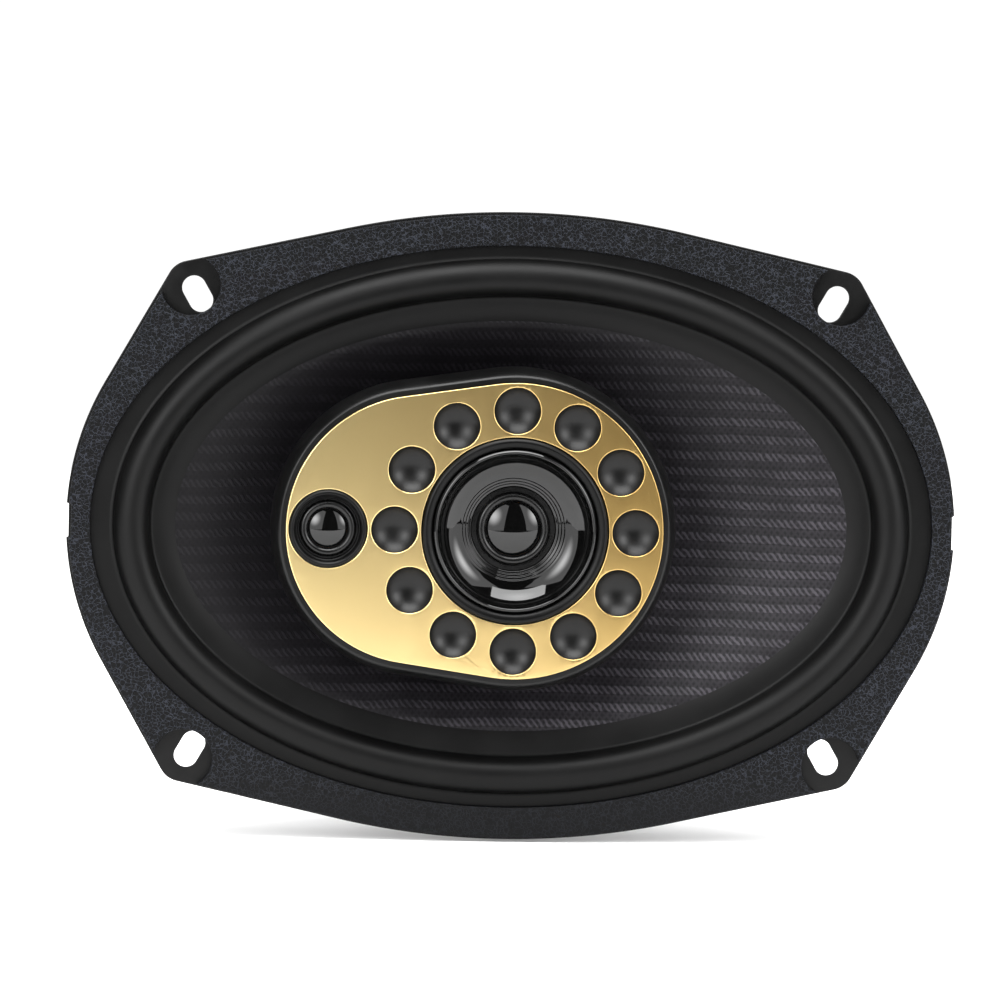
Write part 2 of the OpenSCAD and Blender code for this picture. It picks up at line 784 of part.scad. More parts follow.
module pod_back() {
    wall = pod_wall;
    well_r = tweeter_bezel_r + 0.3;
    well_z = tweeter_pot_z - tweeter_pot_depth - touch;
    color([0.08, 0.08, 0.09]) upright() difference() {
        union() {
            translate([0, 0, tray_z]) linear_extrude(skirt_z - tray_z - touch) polygon(egg(1.8));
            rotate_extrude()
                polygon([
                    [0, bowl_z],
                    [bowl_r, bowl_z],
                    [bowl_r + wall, bowl_z + wall],
                    [bowl_mouth_r + wall, tray_z + bite],
                    [0, tray_z + bite]
                ]);
            translate([-tweeter_shift, 0, 0]) disc(well_r + wall, well_z - wall, tray_z + bite);
            disc(socket_r, bowl_z - socket_depth, bowl_z + bite);
        }
        difference() {
            translate([0, 0, tray_z + wall]) linear_extrude(skirt_z) polygon(egg(0.3));
            for (p = screw_places) translate([p[0], p[1], 0]) disc(post_r, 0, skirt_z - touch);
        }
        rotate_extrude()
            polygon([
                [0, bowl_z + wall],
                [bowl_r - 0.6, bowl_z + wall],
                [bowl_mouth_r, tray_z + wall + bite],
                [0, tray_z + wall + bite]
            ]);
        translate([-tweeter_shift, 0, 0]) disc(well_r, well_z, skirt_z);
        disc(mast_r + mast_fit, bowl_z - socket_depth - bite, bowl_z + wall + bite);
        for (p = screw_places) translate([p[0], p[1], 0]) disc(screw_r + touch, 0, skirt_z + bite);
    }
}

module pod_body() {
    inner_top = body_face_z;
    color([0.1, 0.1, 0.11]) upright() difference() {
        solid_loft([
            egg_ring(skirt_out, skirt_z),
            egg_ring(skirt_out - 0.5, skirt_z + 3),
            egg_ring(skirt_out - 1.5, trim_z - 1.6),
            egg_ring(1.2, trim_z)
        ]);
        difference() {
            translate([0, 0, skirt_z - bite])
                linear_extrude(inner_top - skirt_z + bite) polygon(egg(skirt_out - 2.6 - pod_wall));
            for (p = screw_places)
                translate([p[0], p[1], 0]) disc(post_r, skirt_z - bite, inner_top + bite);
        }
        disc(mid_bezel_r + 0.15, inner_top - bite, trim_z + bite);
        translate([-tweeter_shift, 0, 0]) disc(tweeter_bezel_r + 0.1, inner_top - bite, trim_z + bite);
        for (p = screw_places)
            translate([p[0], p[1], 0]) disc(screw_r + touch, skirt_z - bite, skirt_z + screw_bite + 1);
        dish_cuts();
    }
}

// Hollows of the dishes: spheres that cut the face in circles of dish_r
module dish_cuts() {
    ball_r = (dish_r * dish_r + dish_depth * dish_depth) / (2 * dish_depth);
    for (i = [0:dishes - 1])
        rotate([0, 0, 360 * i / dishes])
            translate([dish_circle_r, 0, trim_z - dish_depth + ball_r]) sphere(r = ball_r);
}

module pod_screws() {
    color([0.5, 0.5, 0.52]) upright() for (p = screw_places)
        translate([p[0], p[1], 0]) {
            disc(screw_r, tray_z - touch, skirt_z + screw_bite);
            difference() {
                disc(screw_head_r, tray_z - screw_head_t, tray_z - touch);
                for (turn = [0, 90])
                    rotate([0, 0, turn]) translate([0, 0, tray_z - screw_head_t])
                        cube([4, 0.7, screw_head_t], center = true);
            }
        }
}

module trim_plate() {
    color([0.78, 0.64, 0.36]) upright() difference() {
        solid_loft([
            egg_ring(0, trim_z + touch),
            egg_ring(0, pod_front_z - 0.35),
            egg_ring(-0.35, pod_front_z)
        ]);
        disc(mid_bezel_r + 0.1, trim_z - bite, pod_front_z + bite);
        translate([-tweeter_shift, 0, 0]) disc(tweeter_bezel_r + touch, trim_z - bite, pod_front_z + bite);
        for (i = [0:dishes - 1])
            rotate([0, 0, 360 * i / dishes])
                translate([dish_circle_r, 0, 0]) disc(dish_r, trim_z - bite, pod_front_z + bite);
    }
}

// ---- A dome driver: its pieces are worked out from the dome's radius, its roll and its place ----

// Ring round a driver with chamfered edges, and a shelf inside it for the dome's foot
module bezel(r, w, z0, z1, shelf_r, shelf_z) {
    edge = 0.8;
    rotate_extrude()
        polygon([
            [shelf_r, z0],
            [r, z0],
            [r, z1 - edge],
            [r - edge, z1],
            [r - w + edge, z1],
            [r - w, z1 - edge],
            [r - w, shelf_z],
            [shelf_r, shelf_z]
        ]);
}

// Half roll between the dome and its seat, with a flat foot outside it
module small_roll(r, w, z, t, foot) {
    rm = r + w / 2;
    ro = w / 2 - 0.25;
    ri = ro - t;
    rotate_extrude()
        polygon(concat(
            [[r + w + foot, z], [r + w + foot, z + t], [rm + ro, z + t]],
            [for (i = [1:9]) let (a = 18 * i) [rm + ro * cos(a), z + t + ro * sin(a)]],
            [[r + touch, z + t], [r + touch, z]],
            [for (i = [1:9]) let (a = 180 - 18 * i) [rm + ri * cos(a), z + ri * sin(a)]]
        ));
}

module small_dome(r, z, rise, t) {
    ball_r = (r * r + rise * rise) / (2 * rise);
    rotate_extrude() difference() {
        intersection() {
            translate([0, z + rise - ball_r]) circle(r = ball_r);
            translate([0, z]) square([r, rise + bite]);
        }
        translate([0, z + rise - ball_r]) circle(r = ball_r - t);
    }
}

module pot(gap_r, out_r, z0, z1, lip_t, wall) {
    rotate_extrude()
        polygon([
            [0, z0],
            [out_r, z0],
            [out_r, z1],
            [gap_r, z1],
            [gap_r, z1 - lip_t],
            [out_r - wall, z1 - lip_t],
            [out_r - wall, z0 + wall],
            [0, z0 + wall]
        ]);
}

module mid_bezel() {
    color([0.07, 0.07, 0.08]) upright()
        bezel(
            mid_bezel_r, mid_bezel_w, horn_seat_z + 1.2 + touch, pod_front_z + 0.6,
            mid_bezel_r - mid_bezel_w, horn_seat_z + 2
        );
}

// Glossy bowl that opens from the dome's throat to the bezel
module mid_horn() {
    mouth_r = mid_bezel_r - mid_bezel_w - 0.15;
    throat_r = horn_throat_r;
    mouth_z = pod_front_z - 0.3;
    low_z = mid_z + 0.2;
    step_r = throat_r + 3.3;
    step_z = low_z + 1.6;
    shelf_r = mid_dome_r + mid_roll_w;
    bowl = [for (i = [0:8]) let (a = 90 * i / 8)
        [step_r + (mouth_r - 1.1 - step_r) * sin(a), mouth_z - 1 - (mouth_z - 1 - step_z) * cos(a)]];
    color([0.05, 0.05, 0.06]) upright() rotate_extrude()
        polygon(concat(
            [[shelf_r, mid_pot_z], [shelf_r, mid_z - touch], [throat_r, mid_z - touch]],
            [[throat_r, low_z], [throat_r + 1, low_z + 0.7]],
            [[throat_r + 2.2, low_z + 0.7], [throat_r + 2.4, step_z]],
            bowl,
            [[mouth_r - 0.8, mouth_z], [mouth_r, mouth_z], [mouth_r, horn_seat_z + 1.2]],
            [[horn_flange_r, horn_seat_z + 1.2], [horn_flange_r, horn_seat_z]],
            [[mouth_r - 0.4, horn_seat_z], [step_r + 2.4, step_z - 1.8], [step_r, mid_pot_z]]
        ));
}

module mid_surround() {
    color([0.09, 0.09, 0.1]) upright() small_roll(mid_dome_r, mid_roll_w, mid_z, film_t, foot_rim);
}

module mid_dome() {
    color([0.05, 0.05, 0.06]) upright() small_dome(mid_dome_r, mid_z, mid_rise, film_t);
}

module mid_former() {
    color([0.7, 0.66, 0.6]) upright()
        washer(mid_dome_r - mid_former_t, mid_dome_r, mid_pot_z - 4.5, mid_z - touch);
}

module mid_coil() {
    color([0.72, 0.38, 0.2]) upright()
        washer(mid_dome_r + touch, mid_dome_r + touch + mid_coil_t, mid_pot_z - 3, mid_pot_z + 0.5);
}

module mid_pole_plate() {
    color([0.62, 0.62, 0.6]) upright()
        disc(mid_dome_r - mid_former_t - small_gap, mid_pot_z - mid_lip_t, mid_pot_z);
}

module mid_magnet() {
    color([0.3, 0.3, 0.31]) upright() disc(
        mid_dome_r - mid_former_t - small_gap - 0.3,
        mid_pot_z - mid_pot_depth + mid_pot_wall + touch,
        mid_pot_z - mid_lip_t - touch
    );
}

module mid_cup() {
    color([0.62, 0.62, 0.6]) upright() pot(
        mid_dome_r + mid_coil_t + touch + small_gap, mid_pot_r,
        mid_pot_z - mid_pot_depth, mid_pot_z, mid_lip_t, mid_pot_wall
    );
}

module tweeter_bezel() {
    color([0.07, 0.07, 0.08]) upright() translate([-tweeter_shift, 0, 0])
        bezel(
            tweeter_bezel_r, tweeter_bezel_w, tweeter_pot_z + touch, pod_front_z + 0.4,
            tweeter_dome_r + tweeter_roll_w, tweeter_z - touch
        );
}

module tweeter_surround() {
    color([0.09, 0.09, 0.1]) upright() translate([-tweeter_shift, 0, 0])
        small_roll(tweeter_dome_r, tweeter_roll_w, tweeter_z, film_t, foot_rim / 3);
}

module tweeter_dome() {
    color([0.05, 0.05, 0.06]) upright() translate([-tweeter_shift, 0, 0])
        small_dome(tweeter_dome_r, tweeter_z, tweeter_rise, film_t);
}

module tweeter_former() {
    color([0.7, 0.66, 0.6]) upright() translate([-tweeter_shift, 0, 0])
        washer(tweeter_dome_r - mid_former_t, tweeter_dome_r, tweeter_pot_z - 3, tweeter_z - touch);
}

module tweeter_coil() {
    color([0.72, 0.38, 0.2]) upright() translate([-tweeter_shift, 0, 0])
        washer(
            tweeter_dome_r + touch, tweeter_dome_r + touch + tweeter_coil_t,
            tweeter_pot_z - 2, tweeter_pot_z + 0.4
        );
}

module tweeter_pole_plate() {
    color([0.62, 0.62, 0.6]) upright() translate([-tweeter_shift, 0, 0])
        disc(tweeter_dome_r - mid_former_t - small_gap, tweeter_pot_z - tweeter_lip_t, tweeter_pot_z);
}

module tweeter_magnet() {
    color([0.3, 0.3, 0.31]) upright() translate([-tweeter_shift, 0, 0]) disc(
        tweeter_dome_r - mid_former_t - small_gap - 0.3,
        tweeter_pot_z - tweeter_pot_depth + tweeter_pot_wall + touch,
        tweeter_pot_z - tweeter_lip_t - touch
    );
}

module tweeter_cup() {
    color([0.62, 0.62, 0.6]) upright() translate([-tweeter_shift, 0, 0]) pot(
        tweeter_dome_r + tweeter_coil_t + touch + small_gap, tweeter_pot_r,
        tweeter_pot_z - tweeter_pot_depth, tweeter_pot_z, tweeter_lip_t, tweeter_pot_wall
    );
}

// ---- Terminals and wiring ----

module terminal_board() {
    color([0.45, 0.3, 0.16]) upright() difference() {
        translate([-board_len / 2, board_y - board_w, board_z]) cube([board_len, board_w, board_t - touch]);
        for (s = [-1, 1]) {
            translate([s * tab_hole_x, tab_hole_y, 0]) disc(tab_hole_r, board_z - bite, spider_z);
            translate([s * blade_x, board_mid_y, 0]) disc(blade_hole_r, board_z - bite, spider_z);
        }
    }
}

// A blade that points to the rear, its foot on the board and a solder ear through the board's front
module blade(w) {
    foot = blade_foot;
    difference() {
        union() {
            translate([-w / 2, -foot / 2, board_z - blade_t - touch]) cube([w, foot, blade_t]);
            translate([-w / 2, -foot / 2, board_z - blade_t - blade_len]) cube([w, blade_t, blade_len]);
        }
        translate([0, -foot / 2 + blade_t / 2, board_z - blade_len + 3])
            rotate([90, 0, 0]) cylinder(r = blade_lock_r, h = 2 * blade_t, center = true);
        disc(blade_hole_r - 2 * touch, board_z - 2 * blade_t, board_z);
    }
}

// Hollow rivet that clamps a blade, with a solder cup at the front of the board
module blade_rivet() {
    bore_r = 0.6;
    washer(bore_r, blade_hole_r - 3 * touch, board_z - blade_t - 2 * touch, board_z + board_t + 0.2);
    washer(bore_r, 2, board_z + board_t, board_z + board_t + 0.5);
}

module terminal_positive() {
    color([0.8, 0.78, 0.7]) upright() translate([-blade_x, board_mid_y, 0]) {
        blade(blade_pos_w);
    }
}

module terminal_negative() {
    color([0.8, 0.78, 0.7]) upright() translate([blade_x, board_mid_y, 0]) {
        blade(blade_neg_w);
    }
}

module terminal_rivets() {
    color([0.8, 0.78, 0.72]) upright() {
        for (s = [-1, 1]) {
            translate([s * blade_x, board_mid_y, 0]) blade_rivet();
            translate([s * tab_hole_x, tab_hole_y, 0]) {
                disc(tab_hole_r - touch, board_z - 2 * touch, spider_z + 2 * touch);
                disc(tab_rivet_head_r, board_z - tab_rivet_head_t, board_z - touch);
                disc(tab_rivet_head_r, spider_z + touch, spider_z + tab_rivet_head_t);
            }
        }
    }
}

module capacitor(r, h) {
    top_z = board_z - touch;
    disc(r, top_z - h, top_z);
}

module capacitor_mid() {
    color([0.1, 0.12, 0.3]) upright()
        translate([-cap_x, cap_y, 0]) capacitor(mid_cap_r, mid_cap_len);
}

module capacitor_tweeter() {
    color([0.1, 0.12, 0.3]) upright()
        translate([cap_x, cap_y, 0]) capacitor(tweeter_cap_r, tweeter_cap_len);
}

module lead_positive() {
    color([0.72, 0.5, 0.36]) upright() tube(smooth(lead_points(-1), 3), lead_r);
}

module lead_negative() {
    color([0.72, 0.5, 0.36]) upright() tube(smooth(lead_points(1), 3), lead_r);
}

module pod_cable() {
    color([0.05, 0.05, 0.05]) upright() tube(smooth(cable_points, 3), cable_r);
}

// Thin lead from the tweeter to the midrange's tags
module tweeter_lead() {
    color([0.6, 0.08, 0.06]) upright() tube(smooth(tweeter_lead_points, 3), lead_r);
}

basket();
front_gasket();
surround();
cone();
lead_eyelets();
voice_coil_former();
voice_coil();
spider();
dust_seal();
front_plate();
magnet();
pole_yoke();
motor_rivets();
mast();
mast_washer();
mast_nut();
pod_back();
pod_body();
pod_screws();
trim_plate();
mid_bezel();
mid_horn();
mid_surround();
mid_dome();
mid_former();
mid_coil();
mid_pole_plate();
mid_magnet();
mid_cup();
tweeter_bezel();
tweeter_surround();
tweeter_dome();
tweeter_former();
tweeter_coil();
tweeter_pole_plate();
tweeter_magnet();
tweeter_cup();
terminal_board();
terminal_positive();
terminal_negative();
terminal_rivets();
capacitor_mid();
capacitor_tweeter();
lead_positive();
lead_negative();
pod_cable();
tweeter_lead();
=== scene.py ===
# %% [markdown]
# # An oval coaxial speaker, modelled piece by piece
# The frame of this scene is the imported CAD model: it fixes where every piece sits and what moves. This lesson
# builds the finished pieces round it. The speaker stands upright and faces -Y. In the whole lesson a place is
# three lengths in millimetres: across to the right, up, and out in front of the panel that it seats on.

# %% Load the frame
import math

import bpy
import numpy as np
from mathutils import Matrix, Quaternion, Vector


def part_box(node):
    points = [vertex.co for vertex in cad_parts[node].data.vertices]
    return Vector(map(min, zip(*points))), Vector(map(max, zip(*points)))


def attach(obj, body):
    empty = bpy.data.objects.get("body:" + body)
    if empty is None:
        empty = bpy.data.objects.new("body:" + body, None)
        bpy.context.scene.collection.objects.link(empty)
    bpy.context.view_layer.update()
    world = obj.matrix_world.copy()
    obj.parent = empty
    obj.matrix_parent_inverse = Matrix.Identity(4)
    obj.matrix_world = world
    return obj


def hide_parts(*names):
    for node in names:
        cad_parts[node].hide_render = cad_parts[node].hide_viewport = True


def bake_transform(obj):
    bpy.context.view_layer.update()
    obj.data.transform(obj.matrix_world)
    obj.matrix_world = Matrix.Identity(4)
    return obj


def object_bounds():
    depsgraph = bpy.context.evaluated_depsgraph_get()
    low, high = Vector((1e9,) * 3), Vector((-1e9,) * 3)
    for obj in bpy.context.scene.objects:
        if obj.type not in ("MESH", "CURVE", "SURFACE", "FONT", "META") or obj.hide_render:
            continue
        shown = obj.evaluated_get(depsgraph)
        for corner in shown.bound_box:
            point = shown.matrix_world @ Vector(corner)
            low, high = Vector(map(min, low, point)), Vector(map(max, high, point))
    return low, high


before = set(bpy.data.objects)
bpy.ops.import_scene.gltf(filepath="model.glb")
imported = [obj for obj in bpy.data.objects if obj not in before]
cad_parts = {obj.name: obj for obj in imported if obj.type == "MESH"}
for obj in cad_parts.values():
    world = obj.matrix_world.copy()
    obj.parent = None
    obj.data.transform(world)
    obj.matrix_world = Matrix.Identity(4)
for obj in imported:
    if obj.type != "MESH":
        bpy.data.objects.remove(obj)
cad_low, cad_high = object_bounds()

# %% [markdown]
# ## Measuring
# Blender works in metres and the CAD in millimetres, so one value turns one into the other. The limits of a CAD
# node are read in the lesson's own three lengths, so that a piece takes its size from the frame.

# %% Millimetres, places and limits
MM = 0.001
SAME_SPOT = 0.002
ROUND = 2 * math.pi
FACING = (ROUND / 4, 0, 0)


def spot(across, up, out):
    """A place in the frame, in metres, from the lesson's three lengths."""
    return Vector((across * MM, -out * MM, up * MM))


def limits(node):
    """How far a CAD node reaches, in millimetres: to the right, up, back and front."""
    low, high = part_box(node)
    return high.x / MM, high.z / MM, -high.y / MM, -low.y / MM


END_ARC, SIDE_ARC, CORNER_ARC = 75, 208, 6.5
NOTCH_LENGTH, NOTCH_DEPTH = 9, 0.7
NOTCH_CORNER, HALF_HEIGHT, SEAT_BACK, PANEL_FRONT = limits("basket")
HALF_LENGTH = NOTCH_CORNER + END_ARC - math.sqrt(END_ARC ** 2 - (NOTCH_LENGTH / 2) ** 2)
CONE_A, CONE_B, NECK_OUT, CONE_EDGE_OUT = limits("cone")
SHEET = 1.2
TOUCH = 0.05
print(f"flange {2 * HALF_LENGTH:.1f} x {2 * HALF_HEIGHT:.1f} mm, cone {2 * CONE_A:.1f} x {2 * CONE_B:.1f} mm")

# %% [markdown]
# ## The camera
# The speaker is seen almost straight on, from a little above and a little to the left, through a long lens from
# far away, so that its oval isn't distorted. The camera is turned about a degree on its own axis and aims a few
# millimetres above and to the left of the middle.

# %% Place the camera
CAMERA_AZIMUTH, CAMERA_ELEVATION = math.radians(-3.8), math.radians(4.8)
CAMERA_DISTANCE = 2.4
CAMERA_ROLL = math.radians(1.2)
VIEW_WIDTH = 0.2663
AIM_LEFT, AIM_ABOVE = 3.1 * MM, 7.1 * MM

towards_camera = Vector((
    math.sin(CAMERA_AZIMUTH) * math.cos(CAMERA_ELEVATION),
    -math.cos(CAMERA_AZIMUTH) * math.cos(CAMERA_ELEVATION),
    math.sin(CAMERA_ELEVATION),
))
camera_turn = (-towards_camera).to_track_quat("-Z", "Y") @ Quaternion((0, 0, 1), CAMERA_ROLL)
aim = spot(0, 0, PANEL_FRONT) + camera_turn @ Vector((-AIM_LEFT, AIM_ABOVE, 0))
bpy.ops.object.camera_add(location=aim + towards_camera * CAMERA_DISTANCE)
camera = bpy.context.object
camera.name = "camera"
camera.rotation_mode = "QUATERNION"
camera.rotation_quaternion = camera_turn
camera.data.lens = camera.data.sensor_width * CAMERA_DISTANCE / VIEW_WIDTH
camera.data.clip_start, camera.data.clip_end = 0.05, 50
bpy.context.scene.camera = camera
print(f"camera {CAMERA_DISTANCE} m away, lens {camera.data.lens:.0f} mm")

# %% [markdown]
# ## Working on a mesh by hand
# Most pieces of a speaker are either turned on a lathe, cut from sheet along arcs, or pressed into an oval. So
# three ways of working do nearly everything. A lathe piece is drawn as half a section, vertex by vertex, and
# spun. A sheet outline is drawn with a pen that extrudes a vertex for a straight edge and spins it for an arc.
# A pressed oval starts as a circle that is extruded and scaled from station to station.

# %% Picking a piece, opening it and closing it up
def object_mode():
    bpy.ops.object.mode_set(mode="OBJECT")


def clear():
    if bpy.context.mode != "OBJECT":
        object_mode()
    bpy.ops.object.select_all(action="DESELECT")


def pick(*pieces):
    """Leaves only these pieces selected, and the first of them active."""
    clear()
    for piece in pieces:
        piece.select_set(True)
    bpy.context.view_layer.objects.active = pieces[0]


def edit(piece):
    """Opens one piece in edit mode with all of it selected."""
    pick(piece)
    bpy.ops.object.mode_set(mode="EDIT")
    select("SELECT")


def select(action):
    bpy.ops.mesh.select_all(action=action)


def merge():
    """Merges what lies on one spot."""
    select("SELECT")
    bpy.ops.mesh.remove_doubles(threshold=SAME_SPOT * MM)


def close_up():
    """Merges what lies on one spot, turns the faces outwards and leaves edit mode."""
    merge()
    bpy.ops.mesh.normals_make_consistent(inside=False)
    object_mode()
    return bpy.context.object


# %% Moving, stretching and drawing out what is selected
def move(step):
    bpy.ops.transform.translate(value=step)


def stretch(across, up):
    bpy.ops.transform.resize(value=(across, 1, up), center_override=(0, 0, 0))


def extrude(step):
    bpy.ops.mesh.extrude_region_move(TRANSFORM_OT_translate={"value": step})


def raise_by(height):
    extrude(spot(0, 0, height))


def settle(name=None):
    """Puts the active piece's turn and size into its mesh, and names it."""
    bpy.ops.object.transform_apply(location=True, rotation=True, scale=True)
    piece = bpy.context.object
    piece.name = name or piece.name
    return piece


# %% The pen
class Pen:
    """Draws an outline at one height: its tip is the one selected vertex."""

    def __init__(self, name, across, up, out):
        clear()
        bpy.ops.mesh.primitive_plane_add(size=MM)
        self.piece = bpy.context.object
        self.piece.name = name
        bpy.ops.object.mode_set(mode="EDIT")
        select("SELECT")
        bpy.ops.mesh.merge(type="CENTER")
        move(spot(across, up, out))
        self.at, self.out = Vector((across, up)), out

    def line(self, across, up, out=None):
        out = self.out if out is None else out
        extrude(spot(across - self.at.x, up - self.at.y, out - self.out))
        self.at, self.out = Vector((across, up)), out

    def arc(self, centre, angle, steps):
        """Swings the tip round a centre, counter-clockwise as seen from the front."""
        middle = spot(centre[0], centre[1], self.out)
        bpy.ops.mesh.spin(steps=steps, angle=angle, center=middle, axis=(0, 1, 0))
        arm = self.at - Vector(centre)
        c, s = math.cos(angle), math.sin(angle)
        self.at = Vector(centre) + Vector((c * arm.x - s * arm.y, s * arm.x + c * arm.y))


# %% The lathe and the oval press
def turned(name, section, centre=0.0, steps=96):
    """A piece spun about its own axis: section is a run of (radius, out), closed if its ends meet."""
    pen = Pen(name, centre + section[0][0], 0, section[0][1])
    for radius, out in section[1:]:
        pen.line(centre + radius, 0, out)
    select("SELECT")
    bpy.ops.mesh.spin(steps=steps, angle=ROUND, center=spot(centre, 0, 0), axis=(0, 1, 0))
    return close_up()


def pressed(name, stations, sides=192):
    """An oval piece: each station is (half width, half height, out)."""
    clear()
    bpy.ops.mesh.primitive_circle_add(vertices=sides, radius=MM, rotation=FACING)
    edit(settle(name))
    a, b, out = stations[0]
    stretch(a, b)
    move(spot(0, 0, out))
    for a2, b2, out2 in stations[1:]:
        raise_by(out2 - out)
        stretch(a2 / a, b2 / b)
        a, b, out = a2, b2, out2
    return close_up()


# %% Modifiers, smooth shading and handing a piece over
def apply(piece, kind, **settings):
    """Adds one modifier with its settings and applies it."""
    pick(piece)
    modifier = piece.modifiers.new(kind.lower(), kind)
    for setting, value in settings.items():
        setattr(modifier, setting, value)
    bpy.ops.object.modifier_apply(modifier=modifier.name)
    return piece


def soften(piece, width, segments=3, angle=32):
    """Rounds every edge that is sharper than an angle."""
    return apply(
        piece, "BEVEL", width=width * MM, segments=segments, limit_method="ANGLE",
        angle_limit=math.radians(angle), use_clamp_overlap=True, miter_outer="MITER_ARC",
    )


def cut(piece, cutter):
    """Takes a cutter's shape out of a piece, and throws the cutter away."""
    apply(piece, "BOOLEAN", object=cutter, operation="DIFFERENCE", solver="EXACT")
    bpy.data.objects.remove(cutter)
    return piece


def hand_over(piece, body, material, nodes=(), angle=35):
    """Smooths a finished piece, gives it its finish and puts it on its body in the place of CAD nodes.

    With no body the piece is left unattached. Rigid pieces have their shading weighted by the
    size of their faces, so that a broad flat face stays flat right up to its bevel.
    """
    pick(piece)
    bpy.ops.object.shade_smooth_by_angle(angle=math.radians(angle))
    if body:
        apply(piece, "WEIGHTED_NORMAL", keep_sharp=True)
    piece.data.materials.clear()
    piece.data.materials.append(material)
    if body:
        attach(piece, body)
    if nodes:
        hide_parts(*nodes)
    print(f"{piece.name}: {len(piece.data.polygons)} faces, for {', '.join(nodes) or 'itself'}")
    return piece


# %% [markdown]
# ## Shader sums as Python
# A finish is mostly arithmetic on patterns. A small class wraps a node's socket and overloads the operators, so
# that a mask is written as a sum. Every other node comes from one method that takes its type, its settings and
# the values or links of its sockets.

# %% A wire, and the bench that nodes are put on
class Wire:
    """A value that runs through a finish. Arithmetic on it adds Math nodes."""

    def __init__(self, finish, socket):
        self.finish, self.socket = finish, socket

    def sum(self, operation, *values):
        return self.finish.node("ShaderNodeMath", {"operation": operation}, dict(enumerate(values)))

    def __add__(self, other): return self.sum("ADD", self, other)
    def __radd__(self, other): return self.sum("ADD", other, self)
    def __sub__(self, other): return self.sum("SUBTRACT", self, other)
    def __rsub__(self, other): return self.sum("SUBTRACT", other, self)
    def __mul__(self, other): return self.sum("MULTIPLY", self, other)
    def __rmul__(self, other): return self.sum("MULTIPLY", other, self)
    def __truediv__(self, other): return self.sum("DIVIDE", self, other)
    def __pow__(self, other): return self.sum("POWER", self, other)
    def fraction(self): return self.sum("FRACT", self)
    def size(self): return self.sum("ABSOLUTE", self)
    def sine(self): return self.sum("SINE", self)
    def over(self, other): return self.sum("MAXIMUM", self, other)

    def ramp(self, low, high):
        """0 below low, 1 above high and smooth between them."""
        sockets = {"Value": self, "From Min": low, "From Max": high}
        return self.finish.node("ShaderNodeMapRange", {"interpolation_type": "SMOOTHSTEP"}, sockets)


class Bench:
    """A material or a world whose nodes are being laid out."""

    def __init__(self, owner):
        owner.use_nodes = True
        self.tree = owner.node_tree

    def node(self, kind, settings, inputs, output=0):
        node = self.tree.nodes.new(kind)
        for setting, value in settings.items():
            setattr(node, setting, value)
        for name, value in inputs.items():
            self.plug(node.inputs[name], value)
        return Wire(self, node.outputs[output])

    def plug(self, socket, value):
        if isinstance(value, Wire):
            self.tree.links.new(value.socket, socket)
        else:
            socket.default_value = value


class Finish(Bench):
    """A material on the bench: its place on the piece, and its shader."""

    def __init__(self, name, **sockets):
        self.material = bpy.data.materials.new(name)
        super().__init__(self.material)
        self.shader = self.tree.nodes["Principled BSDF"]
        self.place = self.node("ShaderNodeTexCoord", {}, {}, "Object")
        self.set(**sockets)

    def set(self, **sockets):
        """Sets or links sockets of the shader: base_color, roughness and so on."""
        for name, value in sockets.items():
            self.plug(self.shader.inputs[name.replace("_", " ").title().replace("Ior", "IOR")], value)
        return self

    def axes(self):
        """Across, depth and up on the piece, in millimetres."""
        parts = [self.node("ShaderNodeSeparateXYZ", {}, {"Vector": self.place}, i) for i in range(3)]
        return [part * (1 / MM) for part in parts]

    def noise(self, grain, detail=3, where=None):
        """Noise whose blobs are about grain millimetres, from 0 to 1."""
        sockets = {"Vector": where or self.place, "Scale": 1 / (grain * MM), "Detail": detail}
        return self.node("ShaderNodeTexNoise", {}, sockets)

    def mix(self, share, first, second):
        """A colour between two colours."""
        return self.node("ShaderNodeMix", {"data_type": "RGBA"}, {0: share, 6: first, 7: second}, 2)

    def bump(self, height, depth, strength=1.0):
        """Raises the surface by up to depth millimetres where height is 1."""
        sockets = {"Height": height, "Distance": depth * MM, "Strength": strength}
        self.plug(self.shader.inputs["Normal"], self.node("ShaderNodeBump", {}, sockets))
        return self


def grey(value, warm=0.0):
    return (value * (1 + warm), value, value * (1 - warm), 1)


# %% [markdown]
# ## Plain finishes
# Moulded, painted, plated and rubber surfaces differ in colour and gloss, but share one recipe: a slow noise
# makes the colour and the gloss drift a little, as handling does, and a fine noise gives the surface its skin.
# The recipe is a function, and each finish is one call of it.

# %% The shared recipe
def skin(name, dark, light, gloss, grain=0.25, depth=0.01, drift=9.0, **sockets):
    """Two colours that drift into each other, a roughness from gloss[0] to gloss[1] and a grained skin."""
    finish = Finish(name, **sockets)
    slow = finish.noise(drift, 4).ramp(0.3, 0.7)
    fine = finish.noise(grain, 4)
    finish.set(
        base_color=finish.mix(slow, dark, light),
        roughness=(slow * 0.6 + fine * 0.4) * (gloss[1] - gloss[0]) + gloss[0],
    )
    return finish.bump(fine, depth).material


